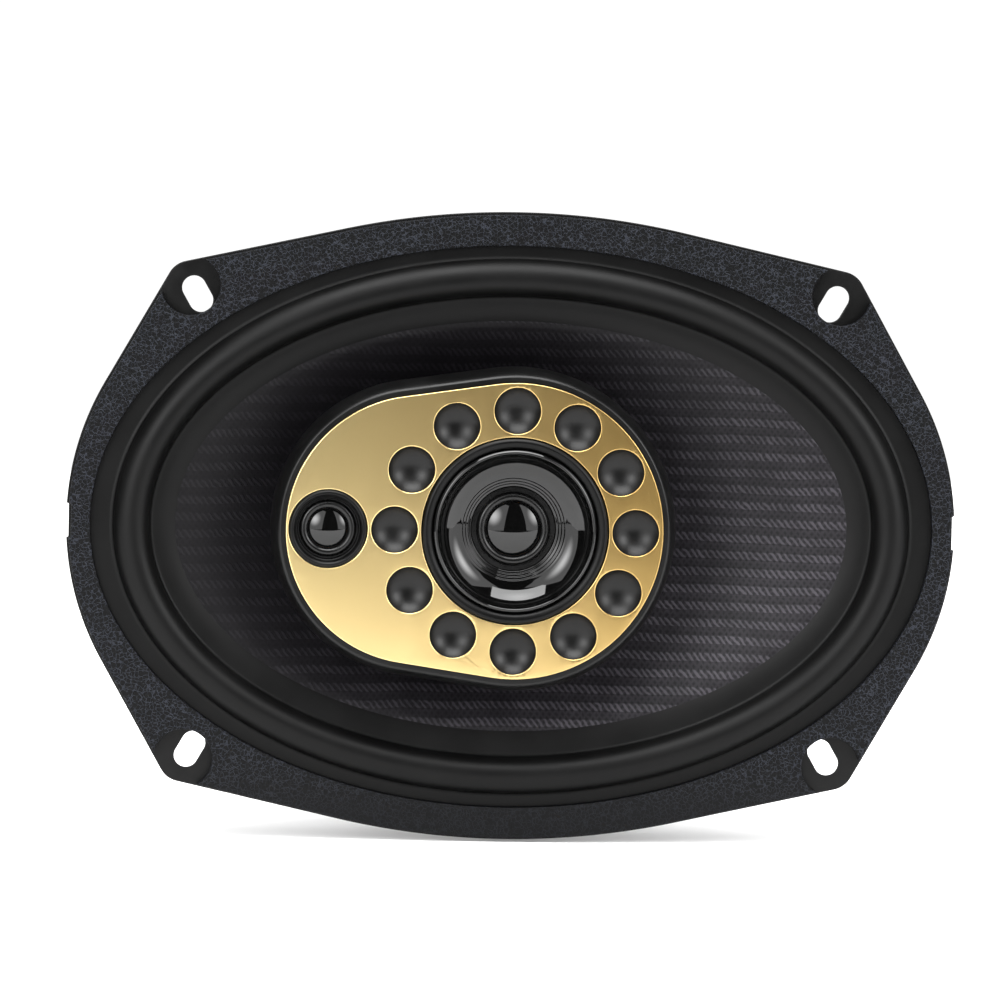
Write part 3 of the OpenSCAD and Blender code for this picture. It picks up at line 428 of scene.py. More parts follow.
MATT, GLOSSY = 0.15, 0.5
paint = skin("painted_steel", grey(0.0012), grey(0.002), (0.34, 0.48), 0.45, 0.012, specular_ior_level=0.2)
body_black = skin("pod_black", grey(0.0014), grey(0.0024), (0.30, 0.40), 0.3, 0.008, specular_ior_level=0.27)
ring_black = skin("ring_black", grey(0.0012), grey(0.002), (0.3, 0.4), 0.25, 0.006, specular_ior_level=MATT)
roll_rubber = skin(
    "roll_rubber", grey(0.0012), grey(0.0018), (0.42, 0.5), 0.35, 0.012, 14, specular_ior_level=MATT,
)
bowl_gloss = skin(
    "bowl_gloss", grey(0.001), grey(0.0014), (0.03, 0.06), 4.0, 0.004, 20, specular_ior_level=GLOSSY,
)
film_black = skin("film_black", grey(0.0014), grey(0.002), (0.22, 0.32), 0.5, 0.004, specular_ior_level=0.35)
dome_gloss = skin(
    "dome_gloss", grey(0.001), grey(0.0014), (0.03, 0.05), 5.0, 0.002, 20, specular_ior_level=GLOSSY,
)
plated = skin("plated_steel", grey(0.26, 0.04), grey(0.36, 0.02), (0.28, 0.45), 0.3, 0.008, 12, metallic=1.0)
zinc = skin("rivet_zinc", grey(0.34, 0.04), grey(0.46, 0.02), (0.25, 0.4), 0.3, 0.01, 5, metallic=1.0)
tin = skin(
    "tinned_brass", (0.62, 0.55, 0.40, 1), (0.72, 0.68, 0.58, 1), (0.22, 0.36), 0.3, 0.006, 4, metallic=1.0,
)
ferrite = skin("ferrite", grey(0.030), grey(0.052), (0.5, 0.72), 0.4, 0.06, 6)
foil = skin("former_foil", (0.30, 0.22, 0.12, 1), (0.36, 0.27, 0.16, 1), (0.3, 0.42), 0.8, 0.01)
foam = skin("seal_foam", grey(0.012), grey(0.03), (0.85, 0.95), 0.5, 0.25, 3)
small_magnet = skin("small_magnet", grey(0.45), grey(0.6), (0.2, 0.34), 0.4, 0.01, 6, metallic=1.0)
sheath = skin("cable_sheath", grey(0.006), grey(0.009), (0.35, 0.45), 0.4, 0.02, 4)
red_sheath = skin("lead_sheath", (0.30, 0.012, 0.010, 1), (0.38, 0.02, 0.015, 1), (0.35, 0.45), 0.4, 0.02, 4)
sleeve = skin("capacitor_sleeve", (0.008, 0.012, 0.05, 1), (0.012, 0.018, 0.075, 1), (0.22, 0.32), 0.6, 0.01, 5)
print("plain finishes:", len(bpy.data.materials))

# %% [markdown]
# ## The gold of the trim plate
# The trim plate is anodised metal under a clear lacquer. It is a true metal colour, nearly smooth, with a very
# fine brushing that only spreads its reflections. The brushing is noise that is stretched up and down. Its colour
# is painted lighter at the left and bottom and darker towards the right and top: painted shade of the light
# falling across it, with a little random tone.

# %% Gold
def gold_finish():
    finish = Finish("gold_plate", metallic=1.0, coat_roughness=0.08)
    squeezed = {0: finish.place, 1: (1, 1, 0.02)}
    stretched = finish.node("ShaderNodeVectorMath", {"operation": "MULTIPLY"}, squeezed)
    brush = finish.noise(0.35, 2, stretched)
    slow = finish.noise(40, 2).ramp(0.3, 0.7)
    across, depth, up = finish.axes()
    # Painted shade: the gold is lighter at the left and bottom and darker towards the right and top, with a
    # little random tone.
    painted_shade_and_tone = (across + up * 0.25).ramp(-62, 42) * 0.9 + slow * 0.1
    finish.set(
        base_color=finish.mix(painted_shade_and_tone, (0.92, 0.71, 0.33, 1), (0.55, 0.36, 0.12, 1)),
        roughness=0.27 + brush * 0.04,
        coat_weight=0.15 + slow * 0.1,
    )
    return finish.bump(brush, 0.0006).material


gold = gold_finish()

# %% [markdown]
# ## Crackle on the gasket
# The gasket is rubber with a raised, worm-like grain pressed into it. A cell pattern gives its net of lines: the
# distance to the nearest cell edge is small on a line. The cells are first pushed about by noise, so that no
# line is straight, and a second, slower noise rubs some lines out.

# %% Crackle
def crackle_finish():
    finish = Finish("gasket_rubber", specular_ior_level=MATT)
    wobble = finish.node("ShaderNodeTexNoise", {}, {"Vector": finish.place, "Scale": 1 / (1.3 * MM)}, 1)
    push = finish.node("ShaderNodeVectorMath", {"operation": "SCALE"}, {0: wobble, "Scale": 1.1 * MM})
    where = finish.node("ShaderNodeVectorMath", {"operation": "ADD"}, {0: finish.place, 1: push})
    cells = finish.node(
        "ShaderNodeTexVoronoi", {"feature": "DISTANCE_TO_EDGE"}, {"Vector": where, "Scale": 1 / (1.1 * MM)},
    )
    line = 1 - cells.ramp(0.015, 0.10)
    kept = finish.noise(1.6, 2).ramp(0.30, 0.46)
    across, depth, up = finish.axes()
    # The crackle lines fade towards the bottom of the gasket.
    fading_lower_down = 1 - (up * -1).ramp(56, 78) * 0.75
    ridge = line * kept * fading_lower_down
    skin_noise = finish.noise(0.3, 3)
    finish.set(
        base_color=finish.mix(ridge, (0.0004, 0.0005, 0.0008, 1), (0.015, 0.017, 0.023, 1)),
        roughness=0.52 - ridge * 0.12 + skin_noise * 0.08,
    )
    return finish.bump(ridge + skin_noise * 0.12, 0.11).material


crackle = crackle_finish()

# %% [markdown]
# ## Woven cone
# The cone is pressed from a black twill cloth in resin. It shows as level bands, each one lying on the next like
# shingles, with a saw-toothed edge where the yarns cross, and a fine diagonal net inside each band. The bands
# stay level all round, because the cloth was flat when it was pressed, so the pattern reads Object coordinates.
# The threads are painted brighter towards the lower right and dimmer towards the upper left: painted light
# falling across the cone.

# %% Weave
BAND, STROKE = 4.5, 1.75


def weave_finish():
    finish = Finish("cone_weave", specular_ior_level=MATT)
    across, depth, up = finish.axes()
    wander = (finish.noise(22, 2) - 0.5) * 2.0
    within = ((up + wander) / BAND).fraction()
    stray = finish.noise(2.6, 2) * 0.9
    falling = (((across + up * 0.8) / STROKE + stray).fraction() - 0.5).size()
    rising = (((across - up * 0.8) / STROKE + stray).fraction() - 0.5).size()
    stroke = 1 - falling.ramp(0.12, 0.34)
    row = within.ramp(0.0, 0.10) * (1 - within.ramp(0.46, 0.58))
    net = (1 - falling.ramp(0.05, 0.40)).over(1 - rising.ramp(0.05, 0.40))
    patchy = finish.noise(7, 3).ramp(0.25, 0.75)
    # Painted light: the threads are brighter towards the lower right and dimmer towards the upper left.
    side = (across - up * 0.9).ramp(-65, 105) * 0.86 + 0.14
    thread = stroke * row * 0.55 + row * 0.12 + net * 0.20 + within.ramp(0.4, 1.0) * 0.12
    # The weave's own pattern, dimmed by the painted light across the cone and a random patchiness.
    weave_and_painted_light = thread * side * (0.55 + patchy * 0.45)
    finish.set(
        base_color=finish.mix(weave_and_painted_light, (0.0012, 0.0010, 0.0015, 1), (0.050, 0.046, 0.054, 1)),
        roughness=0.54 - thread * 0.16,
    )
    return finish.bump(thread, 0.08).material


weave = weave_finish()

# %% [markdown]
# ## Cloth, board and braid
# The suspension is a cotton cloth soaked in amber resin, so it is a fine square weave. The terminal board is
# pressed fibre, brown and flecked. The leads are braided copper, which is a steep double twist.

# %% Cloth, board and braid finishes
YARN = 0.9


def cloth_finish():
    finish = Finish("spider_cloth")
    across, depth, up = finish.axes()
    warp = (across * (ROUND / YARN)).sine() * 0.5 + 0.5
    weft = (up * (ROUND / YARN)).sine() * 0.5 + 0.5
    thread = warp * weft + finish.noise(0.6, 2) * 0.4
    finish.set(
        base_color=finish.mix(thread, (0.19, 0.10, 0.03, 1), (0.44, 0.27, 0.09, 1)),
        roughness=0.75 - thread * 0.1,
    )
    return finish.bump(thread, 0.12).material


def board_finish():
    finish = Finish("fibre_board")
    fleck = finish.noise(0.35, 5).ramp(0.35, 0.75)
    slow = finish.noise(5, 3)
    finish.set(
        base_color=finish.mix(fleck * slow, (0.13, 0.060, 0.022, 1), (0.30, 0.16, 0.07, 1)),
        roughness=0.5 + fleck * 0.2,
    )
    return finish.bump(fleck, 0.03).material


def twist_finish(name, dark, light, pitch, metallic):
    finish = Finish(name, metallic=metallic)
    across, depth, up = finish.axes()
    one = ((across + depth + up) * (ROUND / pitch)).sine() * 0.5 + 0.5
    two = ((across + depth - up) * (ROUND / pitch)).sine() * 0.5 + 0.5
    strand = one.over(two)
    finish.set(base_color=finish.mix(strand, dark, light), roughness=0.5 - strand * 0.15)
    return finish.bump(strand, 0.08).material


cloth = cloth_finish()
board_fibre = board_finish()
braid = twist_finish("braided_copper", (0.22, 0.09, 0.04, 1), (0.75, 0.38, 0.22, 1), 0.5, 1.0)
winding = twist_finish("copper_wire", (0.25, 0.07, 0.03, 1), (0.70, 0.28, 0.13, 1), 0.36, 1.0)
print("finishes in all:", len(bpy.data.materials))

# %% [markdown]
# ## The flange
# The flange is cut from steel sheet along six kinds of line: a notch and a rounded end, a straight edge, a round
# corner, another straight edge, and a long shallow arc over the top. The pen draws one quarter with compass
# arcs, and a mirror makes the rest. The oval opening and the slots are circles that are stretched in place, and
# one fill spans the sheet between them.

# %% The compass of the flange
END_CENTRE = Vector((HALF_LENGTH - END_ARC, 0))
SIDE_CENTRE = Vector((0, HALF_HEIGHT - SIDE_ARC))
SLOT_FROM_END, SLOT_FROM_SIDE = 33.9, 23.1
CORNER_PAST_SLOT = Vector((1.9, 2.3))
SLOT_CENTRE = Vector((HALF_LENGTH - SLOT_FROM_END, HALF_HEIGHT - SLOT_FROM_SIDE))
CORNER_CENTRE = SLOT_CENTRE + CORNER_PAST_SLOT
SLOT_WIDTH, SLOT_LENGTH, SLOT_LEAN = 6.4, 10.2, math.radians(60)


def lean_of_edge(centre, arc, side):
    """Direction of the outward normal of the straight edge between a big arc and the corner."""
    gap = CORNER_CENTRE - centre
    return math.atan2(gap.y, gap.x) + side * math.acos((arc - CORNER_ARC) / gap.length)


LOW_EDGE = lean_of_edge(END_CENTRE, END_ARC, -1)
HIGH_EDGE = lean_of_edge(SIDE_CENTRE, SIDE_ARC, 1)


def heading(angle, length=1.0):
    return Vector((math.cos(angle), math.sin(angle))) * length


# %% One quarter, then all four
def flange_outline(name, inset, out, pocket=0.0):
    """The flange's outline drawn in by an inset. A pocket is the radius of a bare place left at each corner."""
    reach = END_ARC - inset
    first = math.asin(NOTCH_LENGTH / 2 / reach)
    pen = Pen(name, HALF_LENGTH - inset - NOTCH_DEPTH, 0, out)
    pen.line(HALF_LENGTH - inset - NOTCH_DEPTH, NOTCH_LENGTH / 2)
    pen.line(*(END_CENTRE + heading(first, reach)))
    pen.arc(END_CENTRE, LOW_EDGE - first, 20)
    corner = CORNER_ARC - inset
    if pocket:
        spread = math.acos(corner / pocket)
        pen.line(*(CORNER_CENTRE + heading(LOW_EDGE - spread, pocket)))
        pen.arc(CORNER_CENTRE, HIGH_EDGE + 2 * spread - LOW_EDGE - ROUND, 24)
    else:
        pen.line(*(CORNER_CENTRE + heading(LOW_EDGE, corner)))
        pen.arc(CORNER_CENTRE, HIGH_EDGE - LOW_EDGE, 14)
    pen.line(*(SIDE_CENTRE + heading(HIGH_EDGE, SIDE_ARC - inset)))
    pen.arc(SIDE_CENTRE, math.pi / 2 - HIGH_EDGE, 24)
    object_mode()
    return apply(
        pen.piece, "MIRROR", use_axis=(True, False, True), use_mirror_merge=True, merge_threshold=0.01 * MM,
    )


def add_loop(a, b, out, sides=160, across=0.0, up=0.0):
    """Adds an oval loop to the piece that is open in edit mode."""
    bpy.ops.mesh.primitive_circle_add(vertices=sides, radius=MM, rotation=FACING)
    stretch(a, b)
    move(spot(across, up, out))


def stadium(piece, centre, width, length, lean, out):
    """Adds a slot's loop: a circle whose two halves are drawn apart."""
    select("DESELECT")
    add_loop(width / 2, width / 2, out, 32, *centre)
    pull = heading(lean, (length - width) / 2)
    middle = spot(*centre, out)
    object_mode()
    along = spot(pull.x, pull.y, 0).normalized()
    sides = {v.index: (v.co - middle).dot(along) for v in piece.data.vertices if v.select}
    for sign in (1, -1):
        for edge in piece.data.edges:
            edge.select = False
        for vertex in piece.data.vertices:
            vertex.select = sides.get(vertex.index, 0) * sign > 0.1 * MM
        bpy.ops.object.mode_set(mode="EDIT")
        move(spot(*(pull * sign), 0))
        object_mode()
    bpy.ops.object.mode_set(mode="EDIT")


def fill_sheet(piece, thickness):
    """Spans the sheet between its loops and gives it its thickness, towards the front."""
    merge()
    bpy.ops.mesh.fill(use_beauty=True)
    close_up()
    edit(piece)
    raise_by(thickness)
    return close_up()


# %% Cut and thicken the flange
OPENING_PAST_CONE = 14.5
OPENING_A, OPENING_B = CONE_A + OPENING_PAST_CONE, CONE_B + OPENING_PAST_CONE


def make_flange():
    flange = flange_outline("basket_flange", 0, 0)
    edit(flange)
    add_loop(OPENING_A, OPENING_B, 0, 192)
    for right in (1, -1):
        for top in (1, -1):
            centre = (SLOT_CENTRE.x * right, SLOT_CENTRE.y * top)
            stadium(flange, centre, SLOT_WIDTH, SLOT_LENGTH, SLOT_LEAN * right * top, 0)
    fill_sheet(flange, SHEET)
    soften(flange, 0.28)
    return hand_over(flange, "frame", paint, ["basket"])


make_flange()

# %% [markdown]
# ## The tub behind the flange
# The rest of the basket is one pressed sheet: an upright shoulder, a sloping wall with ten windows, a ledge for
# the suspension, and a round pan that seats on the magnet. It is pressed as an oval that turns round as it goes
# back. The windows are marked out with bisecting planes and their faces taken out, so their edges are straight
# and true, and only then the sheet is given its thickness.

# %% Press the tub
WINDOW_TOP, WINDOW_SILL = -9.5, -28.4
WINDOW_HALF = math.radians(12)
NEAR_WINDOW = 0.5
WINDOWS = [math.radians(a) for a in (0, 39, 73.5, 106.5, 141, 180, 219, 253.5, 286.5, 321)]
LEDGE_OUT = -33.4
LEDGE_A, PAN_A, HOLE_A = 52.0, 46.0, 25.0
SEAT_OUT = SEAT_BACK + SHEET


def tub_stations():
    shoulder = [(OPENING_A + 0.9, OPENING_B + 0.9, 0.9), (OPENING_A + 0.45, OPENING_B + 0.45, 0.6)]
    shoulder += [(OPENING_A + 0.2, OPENING_B + 0.2, 0), (OPENING_A, OPENING_B, -2.4)]
    shoulder += [(CONE_A + 13.4, CONE_B + 13.7, -4.6), (CONE_A + 11.6, CONE_B + 12.5, -6.6)]
    shoulder += [(CONE_A + 9.2, CONE_B + 10.8, -8.0), (CONE_A + 7.0, CONE_B + 9.0, WINDOW_TOP + 0.6)]
    low_a, low_b, low_out, wall_height = 55.8, 54.3, -28.8, 19.9
    wider, higher = CONE_A - 49.5, CONE_B - 45.7
    shares = (0.75, 0.5, 0.25, 0)
    wall = [(low_a + wider * s, low_b + higher * s, low_out + wall_height * s) for s in shares]
    foot = [(54.2, 53.4, -31.4), (53.2, 52.9, -32.8), (LEDGE_A, LEDGE_A, LEDGE_OUT)]
    pan = [(PAN_A + 0.9, PAN_A + 0.9, LEDGE_OUT), (PAN_A + 0.3, PAN_A + 0.3, LEDGE_OUT - 0.3)]
    pan += [(PAN_A, PAN_A, LEDGE_OUT - 0.9), (PAN_A, PAN_A, SEAT_OUT + 1)]
    pan += [(PAN_A - 0.3, PAN_A - 0.3, SEAT_OUT + 0.3), (PAN_A - 1, PAN_A - 1, SEAT_OUT)]
    pan += [(HOLE_A, HOLE_A, SEAT_OUT)]
    return shoulder + wall + foot + pan


def wall_faces(piece, test):
    """Selects the faces whose middle, as (angle, out), passes a test."""
    object_mode()
    for face in piece.data.polygons:
        c = face.center / MM
        face.select = test(math.atan2(c.z, c.x), -c.y)
    bpy.ops.object.mode_set(mode="EDIT")


def in_window(angle, out, middle, reach):
    return abs(math.remainder(angle - middle, ROUND)) < reach and WINDOW_SILL < out < WINDOW_TOP


def make_tub():
    tub = pressed("basket_tub", tub_stations(), 200)
    edit(tub)
    bpy.ops.mesh.select_mode(type="FACE")
    for height in (WINDOW_TOP, WINDOW_SILL):
        select("SELECT")
        bpy.ops.mesh.bisect(plane_co=spot(0, 0, height), plane_no=(0, 1, 0))
    for middle in WINDOWS:
        for side in (-WINDOW_HALF, WINDOW_HALF):
            wall_faces(tub, lambda a, out: in_window(a, out, middle, NEAR_WINDOW))
            along = heading(middle + side)
            bpy.ops.mesh.bisect(plane_co=(0, 0, 0), plane_no=(-along.y, 0, along.x))
    wall_faces(tub, lambda a, out: any(in_window(a, out, middle, WINDOW_HALF) for middle in WINDOWS))
    bpy.ops.mesh.delete(type="FACE")
    bpy.ops.mesh.select_mode(type="VERT")
    close_up()
    apply(tub, "SOLIDIFY", thickness=SHEET * MM, offset=1, use_even_offset=True)
    soften(tub, 0.3, 2, 50)
    return hand_over(tub, "frame", paint, ["basket"])


tub = make_tub()
depths = [-v.co.y / MM for v in tub.data.vertices]
print(f"tub reaches {min(depths):.1f} to {max(depths):.1f} mm out")

# %% The tab that carries the terminal board
def box_piece(name, size, middle, edge=0.2):
    """A cube at its size and place with rounded edges; size and middle are across, up, out."""
    clear()
    bpy.ops.mesh.primitive_cube_add(size=1, location=spot(*middle))
    bpy.context.object.scale = (size[0] * MM, size[2] * MM, size[1] * MM)
    piece = settle(name)
    return soften(piece, edge, 2) if edge else piece


tab = box_piece("basket_tab", (18, 12, SHEET), (0, -57, LEDGE_OUT - SHEET / 2), 0.3)
hand_over(tab, "frame", paint, ["basket"])

# %% [markdown]
# ## The front gasket
# The gasket lies on the flange and is cut away round each slot. Its outline is the flange's own, drawn in a
# little, with the pen turning back on itself round each corner to leave the pocket bare.

# %% Cut the gasket
GASKET_BACK, GASKET_FRONT = SHEET, limits("front_gasket")[3]
GASKET_A, GASKET_B = HALF_LENGTH - 6.3, HALF_HEIGHT - 8.8
GASKET_INSET, POCKET_R = 0.6, 7.9


def make_gasket():
    gasket = flange_outline("front_gasket_crackled", GASKET_INSET, GASKET_BACK, POCKET_R)
    edit(gasket)
    add_loop(GASKET_A, GASKET_B, GASKET_BACK, 192)
    fill_sheet(gasket, GASKET_FRONT - GASKET_BACK)
    soften(gasket, 0.45, 3)
    return hand_over(gasket, "frame", crackle, ["front_gasket"])


make_gasket()

# %% [markdown]
# ## The surround
# The surround is a half roll of rubber that lets the cone travel. Its section is followed once over the top and
# once back underneath. Its inner lip moves with the cone and its foot stays on the basket. For each point a share
# is worked out, the smaller the farther out from the cone it is, but the mesh is not bound to the cone.

# %% Press the surround
ROLL, VALLEY_IN, VALLEY_OUT, LIP, RUBBER = 4.85, 2.0, 2.7, 5.2, 0.8
ROLL_MIDDLE = VALLEY_IN + ROLL
ROLL_END = VALLEY_IN + 2 * ROLL
LIP_OUT = CONE_EDGE_OUT + TOUCH


def ring(t, out):
    """A station that stands t outside the cone's edge."""
    return (CONE_A + t, CONE_B + t, out)


def surround_stations():
    foot = [(GASKET_A - 0.1, GASKET_B - 0.1, SHEET), (GASKET_A - 0.1, GASKET_B - 0.1, SHEET + RUBBER)]
    top = SHEET + RUBBER
    over = [ring(ROLL_END + 1.2, top), ring(ROLL_END + 0.35, top + 0.12)]
    turns = [math.pi * i / 22 for i in range(1, 22)]
    over += [ring(ROLL_MIDDLE + ROLL * math.cos(a), top + (ROLL + 0.4) * math.sin(a)) for a in turns]
    over += [ring(VALLEY_IN - 0.3, LIP_OUT + RUBBER + 0.3), ring(VALLEY_IN - 0.9, LIP_OUT + RUBBER + 0.12)]
    over += [ring(0, LIP_OUT + RUBBER), ring(-LIP + 0.6, LIP_OUT + RUBBER - 0.8)]
    over += [ring(-LIP + 0.15, LIP_OUT - 0.35)]
    under = [ring(-LIP, LIP_OUT - 0.9), ring(0, LIP_OUT), ring(VALLEY_IN - 0.4, LIP_OUT + 0.2)]
    inner = ROLL - RUBBER
    under += [ring(ROLL_MIDDLE - inner * math.cos(a), SHEET + (inner + 0.8) * math.sin(a)) for a in turns[::2]]
    return foot + over + under + [ring(ROLL_END + 0.4, SHEET), foot[0]]


def bend(piece, share):
    """Puts a piece's place into its mesh and works out share(across, up), how far each point would follow a
    moving body; the shares are not used.
    """
    spot(0, 0, 1)
    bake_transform(piece)
    places = np.array([v.co for v in piece.data.vertices]) / MM
    weights = share(places[:, 0], places[:, 2]).astype(np.float32)
    return piece


def ease(value, start, end):
    """1 up to start, 0 from end on, and smooth between them."""
    t = np.clip((value - start) / (end - start), 0, 1)
    return 1 - t * t * (3 - 2 * t)


def beyond_cone(across, up):
    """How far outside the cone's edge a point stands, along the oval's own rings."""
    around = np.arctan2(up / CONE_B, across / CONE_A)
    stretch_out = np.hypot(across / CONE_A, up / CONE_B) - 1
    return stretch_out / (np.cos(around) ** 2 / CONE_A + np.sin(around) ** 2 / CONE_B)


surround = pressed("surround_roll", surround_stations())
hand_over(surround, None, roll_rubber, ["surround"], 60)
bend(surround, lambda x, z: ease(beyond_cone(x, z), VALLEY_IN, ROLL_END))

# %% [markdown]
# ## The cone
# The cone is thin and slightly domed between its oval edge and its round neck. A few dozen stations follow that
# line, and the sheet gets its thickness at the end, from the front backwards.

# %% Press the cone
EDGE_A, EDGE_B, EDGE_OUT = CONE_A - LIP, CONE_B - LIP, CONE_EDGE_OUT - 0.9
NECK_R, NECK_FRONT, CONE_CROWN = 16.0, NECK_OUT + 0.9, 4.48


def cone_stations(steps=26):
    run = [(CONE_A, CONE_B, CONE_EDGE_OUT)]
    for i in range(steps + 1):
        s = i / steps
        out = EDGE_OUT + (NECK_FRONT - EDGE_OUT) * s + CONE_CROWN * s * (1 - s)
        run.append((EDGE_A + (NECK_R - EDGE_A) * s, EDGE_B + (NECK_R - EDGE_B) * s, out))
    return run


cone = pressed("cone_woven", cone_stations(), 200)
apply(cone, "SOLIDIFY", thickness=0.75 * MM, offset=-1)
hand_over(cone, "cone_assembly", weave, ["cone"], 50)

# %% [markdown]
# ## The pod
# The black pod stands in front of the cone. Its outline has two round ends of different size, joined by the
# straight edges that touch both. Its side is made by insetting that outline several times, each time a little
# forward. The twelve dishes are balls that are taken out of its face, and the inside is cut out as a block.

# %% The egg-shaped outline
PLATE_BIG, PLATE_SMALL, PLATE_SHIFT = 39.4, 35.7, 25.1
EGG_LEAN = math.acos((PLATE_BIG - PLATE_SMALL) / PLATE_SHIFT)
DISHES, DISH_CIRCLE, DISH_R, DISH_DEPTH = 12, 32.0, 6.15, 2.8
TWEETER_AT = -49.6
PLATE_OUT = limits("trim_plate")[3]
FACE_OUT = PLATE_OUT - 1
POD_BACK_OUT = limits("pod_body")[2]
FACE_THICK, SKIRT_OUT, SKIRT_EDGE = 4, 3.8, 0.5
MID_HOLE, TWEETER_HOLE, MID_PIERCED, TWEETER_PIERCED = 24.95, 10.5, 24.9, 10.45


def egg_outline(name, margin, out):
    big, small = PLATE_BIG + margin, PLATE_SMALL + margin
    turn = math.pi - EGG_LEAN
    pen = Pen(name, *heading(-turn, big), out)
    pen.arc((0, 0), 2 * turn, 72)
    pen.line(*(Vector((-PLATE_SHIFT, 0)) + heading(turn, small)))
    pen.arc((-PLATE_SHIFT, 0), 2 * EGG_LEAN, 56)
    pen.line(*heading(-turn, big))
    merge()
    return pen.piece


def dish_places():
    return [heading(ROUND * i / DISHES, DISH_CIRCLE) for i in range(DISHES)]


# %% The pod's moulding
def cylinder(name, radius, low, high, across=0.0, up=0.0, sides=96):
    clear()
    bpy.ops.mesh.primitive_cylinder_add(
        vertices=sides, radius=radius * MM, depth=(high - low) * MM,
        location=spot(across, up, (low + high) / 2), rotation=FACING,
    )
    return settle(name)


def dish_balls():
    """The balls whose caps are the dishes, modelled once and copied."""
    ball_r = (DISH_R ** 2 + DISH_DEPTH ** 2) / (2 * DISH_DEPTH)
    clear()
    bpy.ops.mesh.primitive_uv_sphere_add(segments=72, ring_count=48, radius=ball_r * MM, rotation=FACING)
    ball = settle()
    edit(ball)
    move(spot(*dish_places()[0], FACE_OUT - DISH_DEPTH + ball_r))
    for i in range(1, DISHES):
        bpy.ops.mesh.duplicate()
        step = dish_places()[i] - dish_places()[i - 1]
        move(spot(*step, 0))
    object_mode()
    return ball


def egg_block(name, margin, back, height):
    """A solid block on the egg-shaped outline, left open in edit mode with its front face selected."""
    block = egg_outline(name, margin, back)
    bpy.ops.mesh.edge_face_add()
    raise_by(height)
    return block


def make_pod():
    core = egg_block("pod_core", -0.3, POD_BACK_OUT - 1, FACE_OUT - FACE_THICK - POD_BACK_OUT + 1)
    close_up()
    pod = egg_block("pod_shell", SKIRT_OUT, POD_BACK_OUT, SKIRT_EDGE)
    steps = [(0.25, 2.0), (0.35, 1.8), (0.4, 1.4), (0.4, 1.0), (0.4, 0.7), (0.3, 0.35), (0.3, 0.2)]
    steps.append((0.2, FACE_OUT - POD_BACK_OUT - SKIRT_EDGE - sum(s[1] for s in steps)))
    for inward, forward in steps:
        bpy.ops.mesh.inset(thickness=inward * MM, depth=0, use_even_offset=True)
        move(spot(0, 0, forward))
    close_up()
    cut(pod, core)
    cut(pod, dish_balls())
    cut(pod, cylinder("mid_hole", MID_HOLE, 9, 18))
    cut(pod, cylinder("tweeter_hole", TWEETER_HOLE, 9, 18, TWEETER_AT, sides=64))
    return hand_over(pod, "frame", body_black, ["pod_body"], 30)


make_pod()

# %% [markdown]
# ## The gold trim plate
# The plate is the pod's outline again, pierced by twelve dish holes and the two driver holes. All the loops are
# laid on one level, filled in one go, thickened and given the small bevel that catches the light.

# %% Pierce the plate
def make_plate():
    back = FACE_OUT + TOUCH
    plate = egg_outline("trim_plate_gold", 0, back)
    holes = [(DISH_R, 72, *place) for place in dish_places()]
    holes += [(MID_PIERCED, 128, 0, 0), (TWEETER_PIERCED, 72, TWEETER_AT, 0)]
    for radius, sides, across, up in holes:
        select("DESELECT")
        add_loop(radius, radius, back, sides, across, up)
    fill_sheet(plate, PLATE_OUT - back)
    soften(plate, 0.3, 3)
    return hand_over(plate, "frame", gold, ["trim_plate"])


make_plate()

# %% [markdown]
# ## The midrange
# In the middle of the pod sits a small driver: a matt ring, a glossy bowl with a few steps at its throat, a
# half roll and a glossy dome. All are lathe work. The bowl's section starts flat at the steps and grows steeper
# towards the ring, so that it mirrors the room in a ring round the dome.

# %% Sections of a dome driver
def arc_run(centre, radius, start, end, steps):
    """Points on an arc of a section; angles in degrees from the radius axis towards the front."""
    angles = [math.radians(start + (end - start) * i / steps) for i in range(steps + 1)]
    return [(centre[0] + radius * math.cos(a), centre[1] + radius * math.sin(a)) for a in angles]


def roll_section(r, width, z, thick, foot):
    """Half roll between a dome and its seat, with a flat foot outside it."""
    middle, outer = r + width / 2, width / 2 - 0.15
    run = [(r + width + foot, z), (r + width + foot, z + thick), (r + width, z + thick)]
    run += arc_run((middle, z + thick), outer, 8, 172, 14)
    run += [(r + TOUCH, z + thick), (r + TOUCH, z)]
    run += arc_run((middle, z), outer - thick, 172, 8, 14)
    return run + [run[0]]


def dome_section(r, z, rise, thick, steps=20):
    """A spherical cap from its rim to its top, and back along its inside."""
    ball = (r * r + rise * rise) / (2 * rise)
    rim = math.degrees(math.acos(r / ball))
    centre = (0, z + rise - ball)
    run = arc_run(centre, ball, rim, 90, steps) + arc_run(centre, ball - thick, 90, rim, steps)
    return [(max(p, 0), q) for p, q in run] + [run[0]]


def steep_run(r, out, leans, widths):
    """A wall that grows steeper: each piece of it has a lean in degrees and a width."""
    run = [(r, out)]
    for lean, width in zip(leans, widths):
        r, out = r + width, out + width * math.tan(math.radians(lean))
        run.append((r, out))
    return run


# %% Turn the midrange's pieces
FILM = 0.25
MID_R, MID_ROLL, MID_OUT = 7.2, 2.7, limits("mid_surround")[2]
MID_RISE = limits("mid_dome")[3] - MID_OUT
MID_POT_OUT = limits("mid_cup")[3]
BEZEL_R, BEZEL_IN, BEZEL_BACK, BEZEL_FRONT = 24.8, 21.9, limits("mid_bezel")[2], limits("mid_bezel")[3]


def bezel_section():
    inner, outer, top = BEZEL_IN, BEZEL_R, BEZEL_FRONT
    run = [(inner, BEZEL_BACK), (outer, BEZEL_BACK), (outer, top - 1.1)]
    run += [(outer - 0.25, top - 0.5), (outer - 0.8, top - 0.08), (outer - 1.3, top), (inner + 0.9, top - 0.25)]
    return run + [(inner + 0.3, top - 0.6), (inner, top - 1.2), (inner, BEZEL_BACK)]


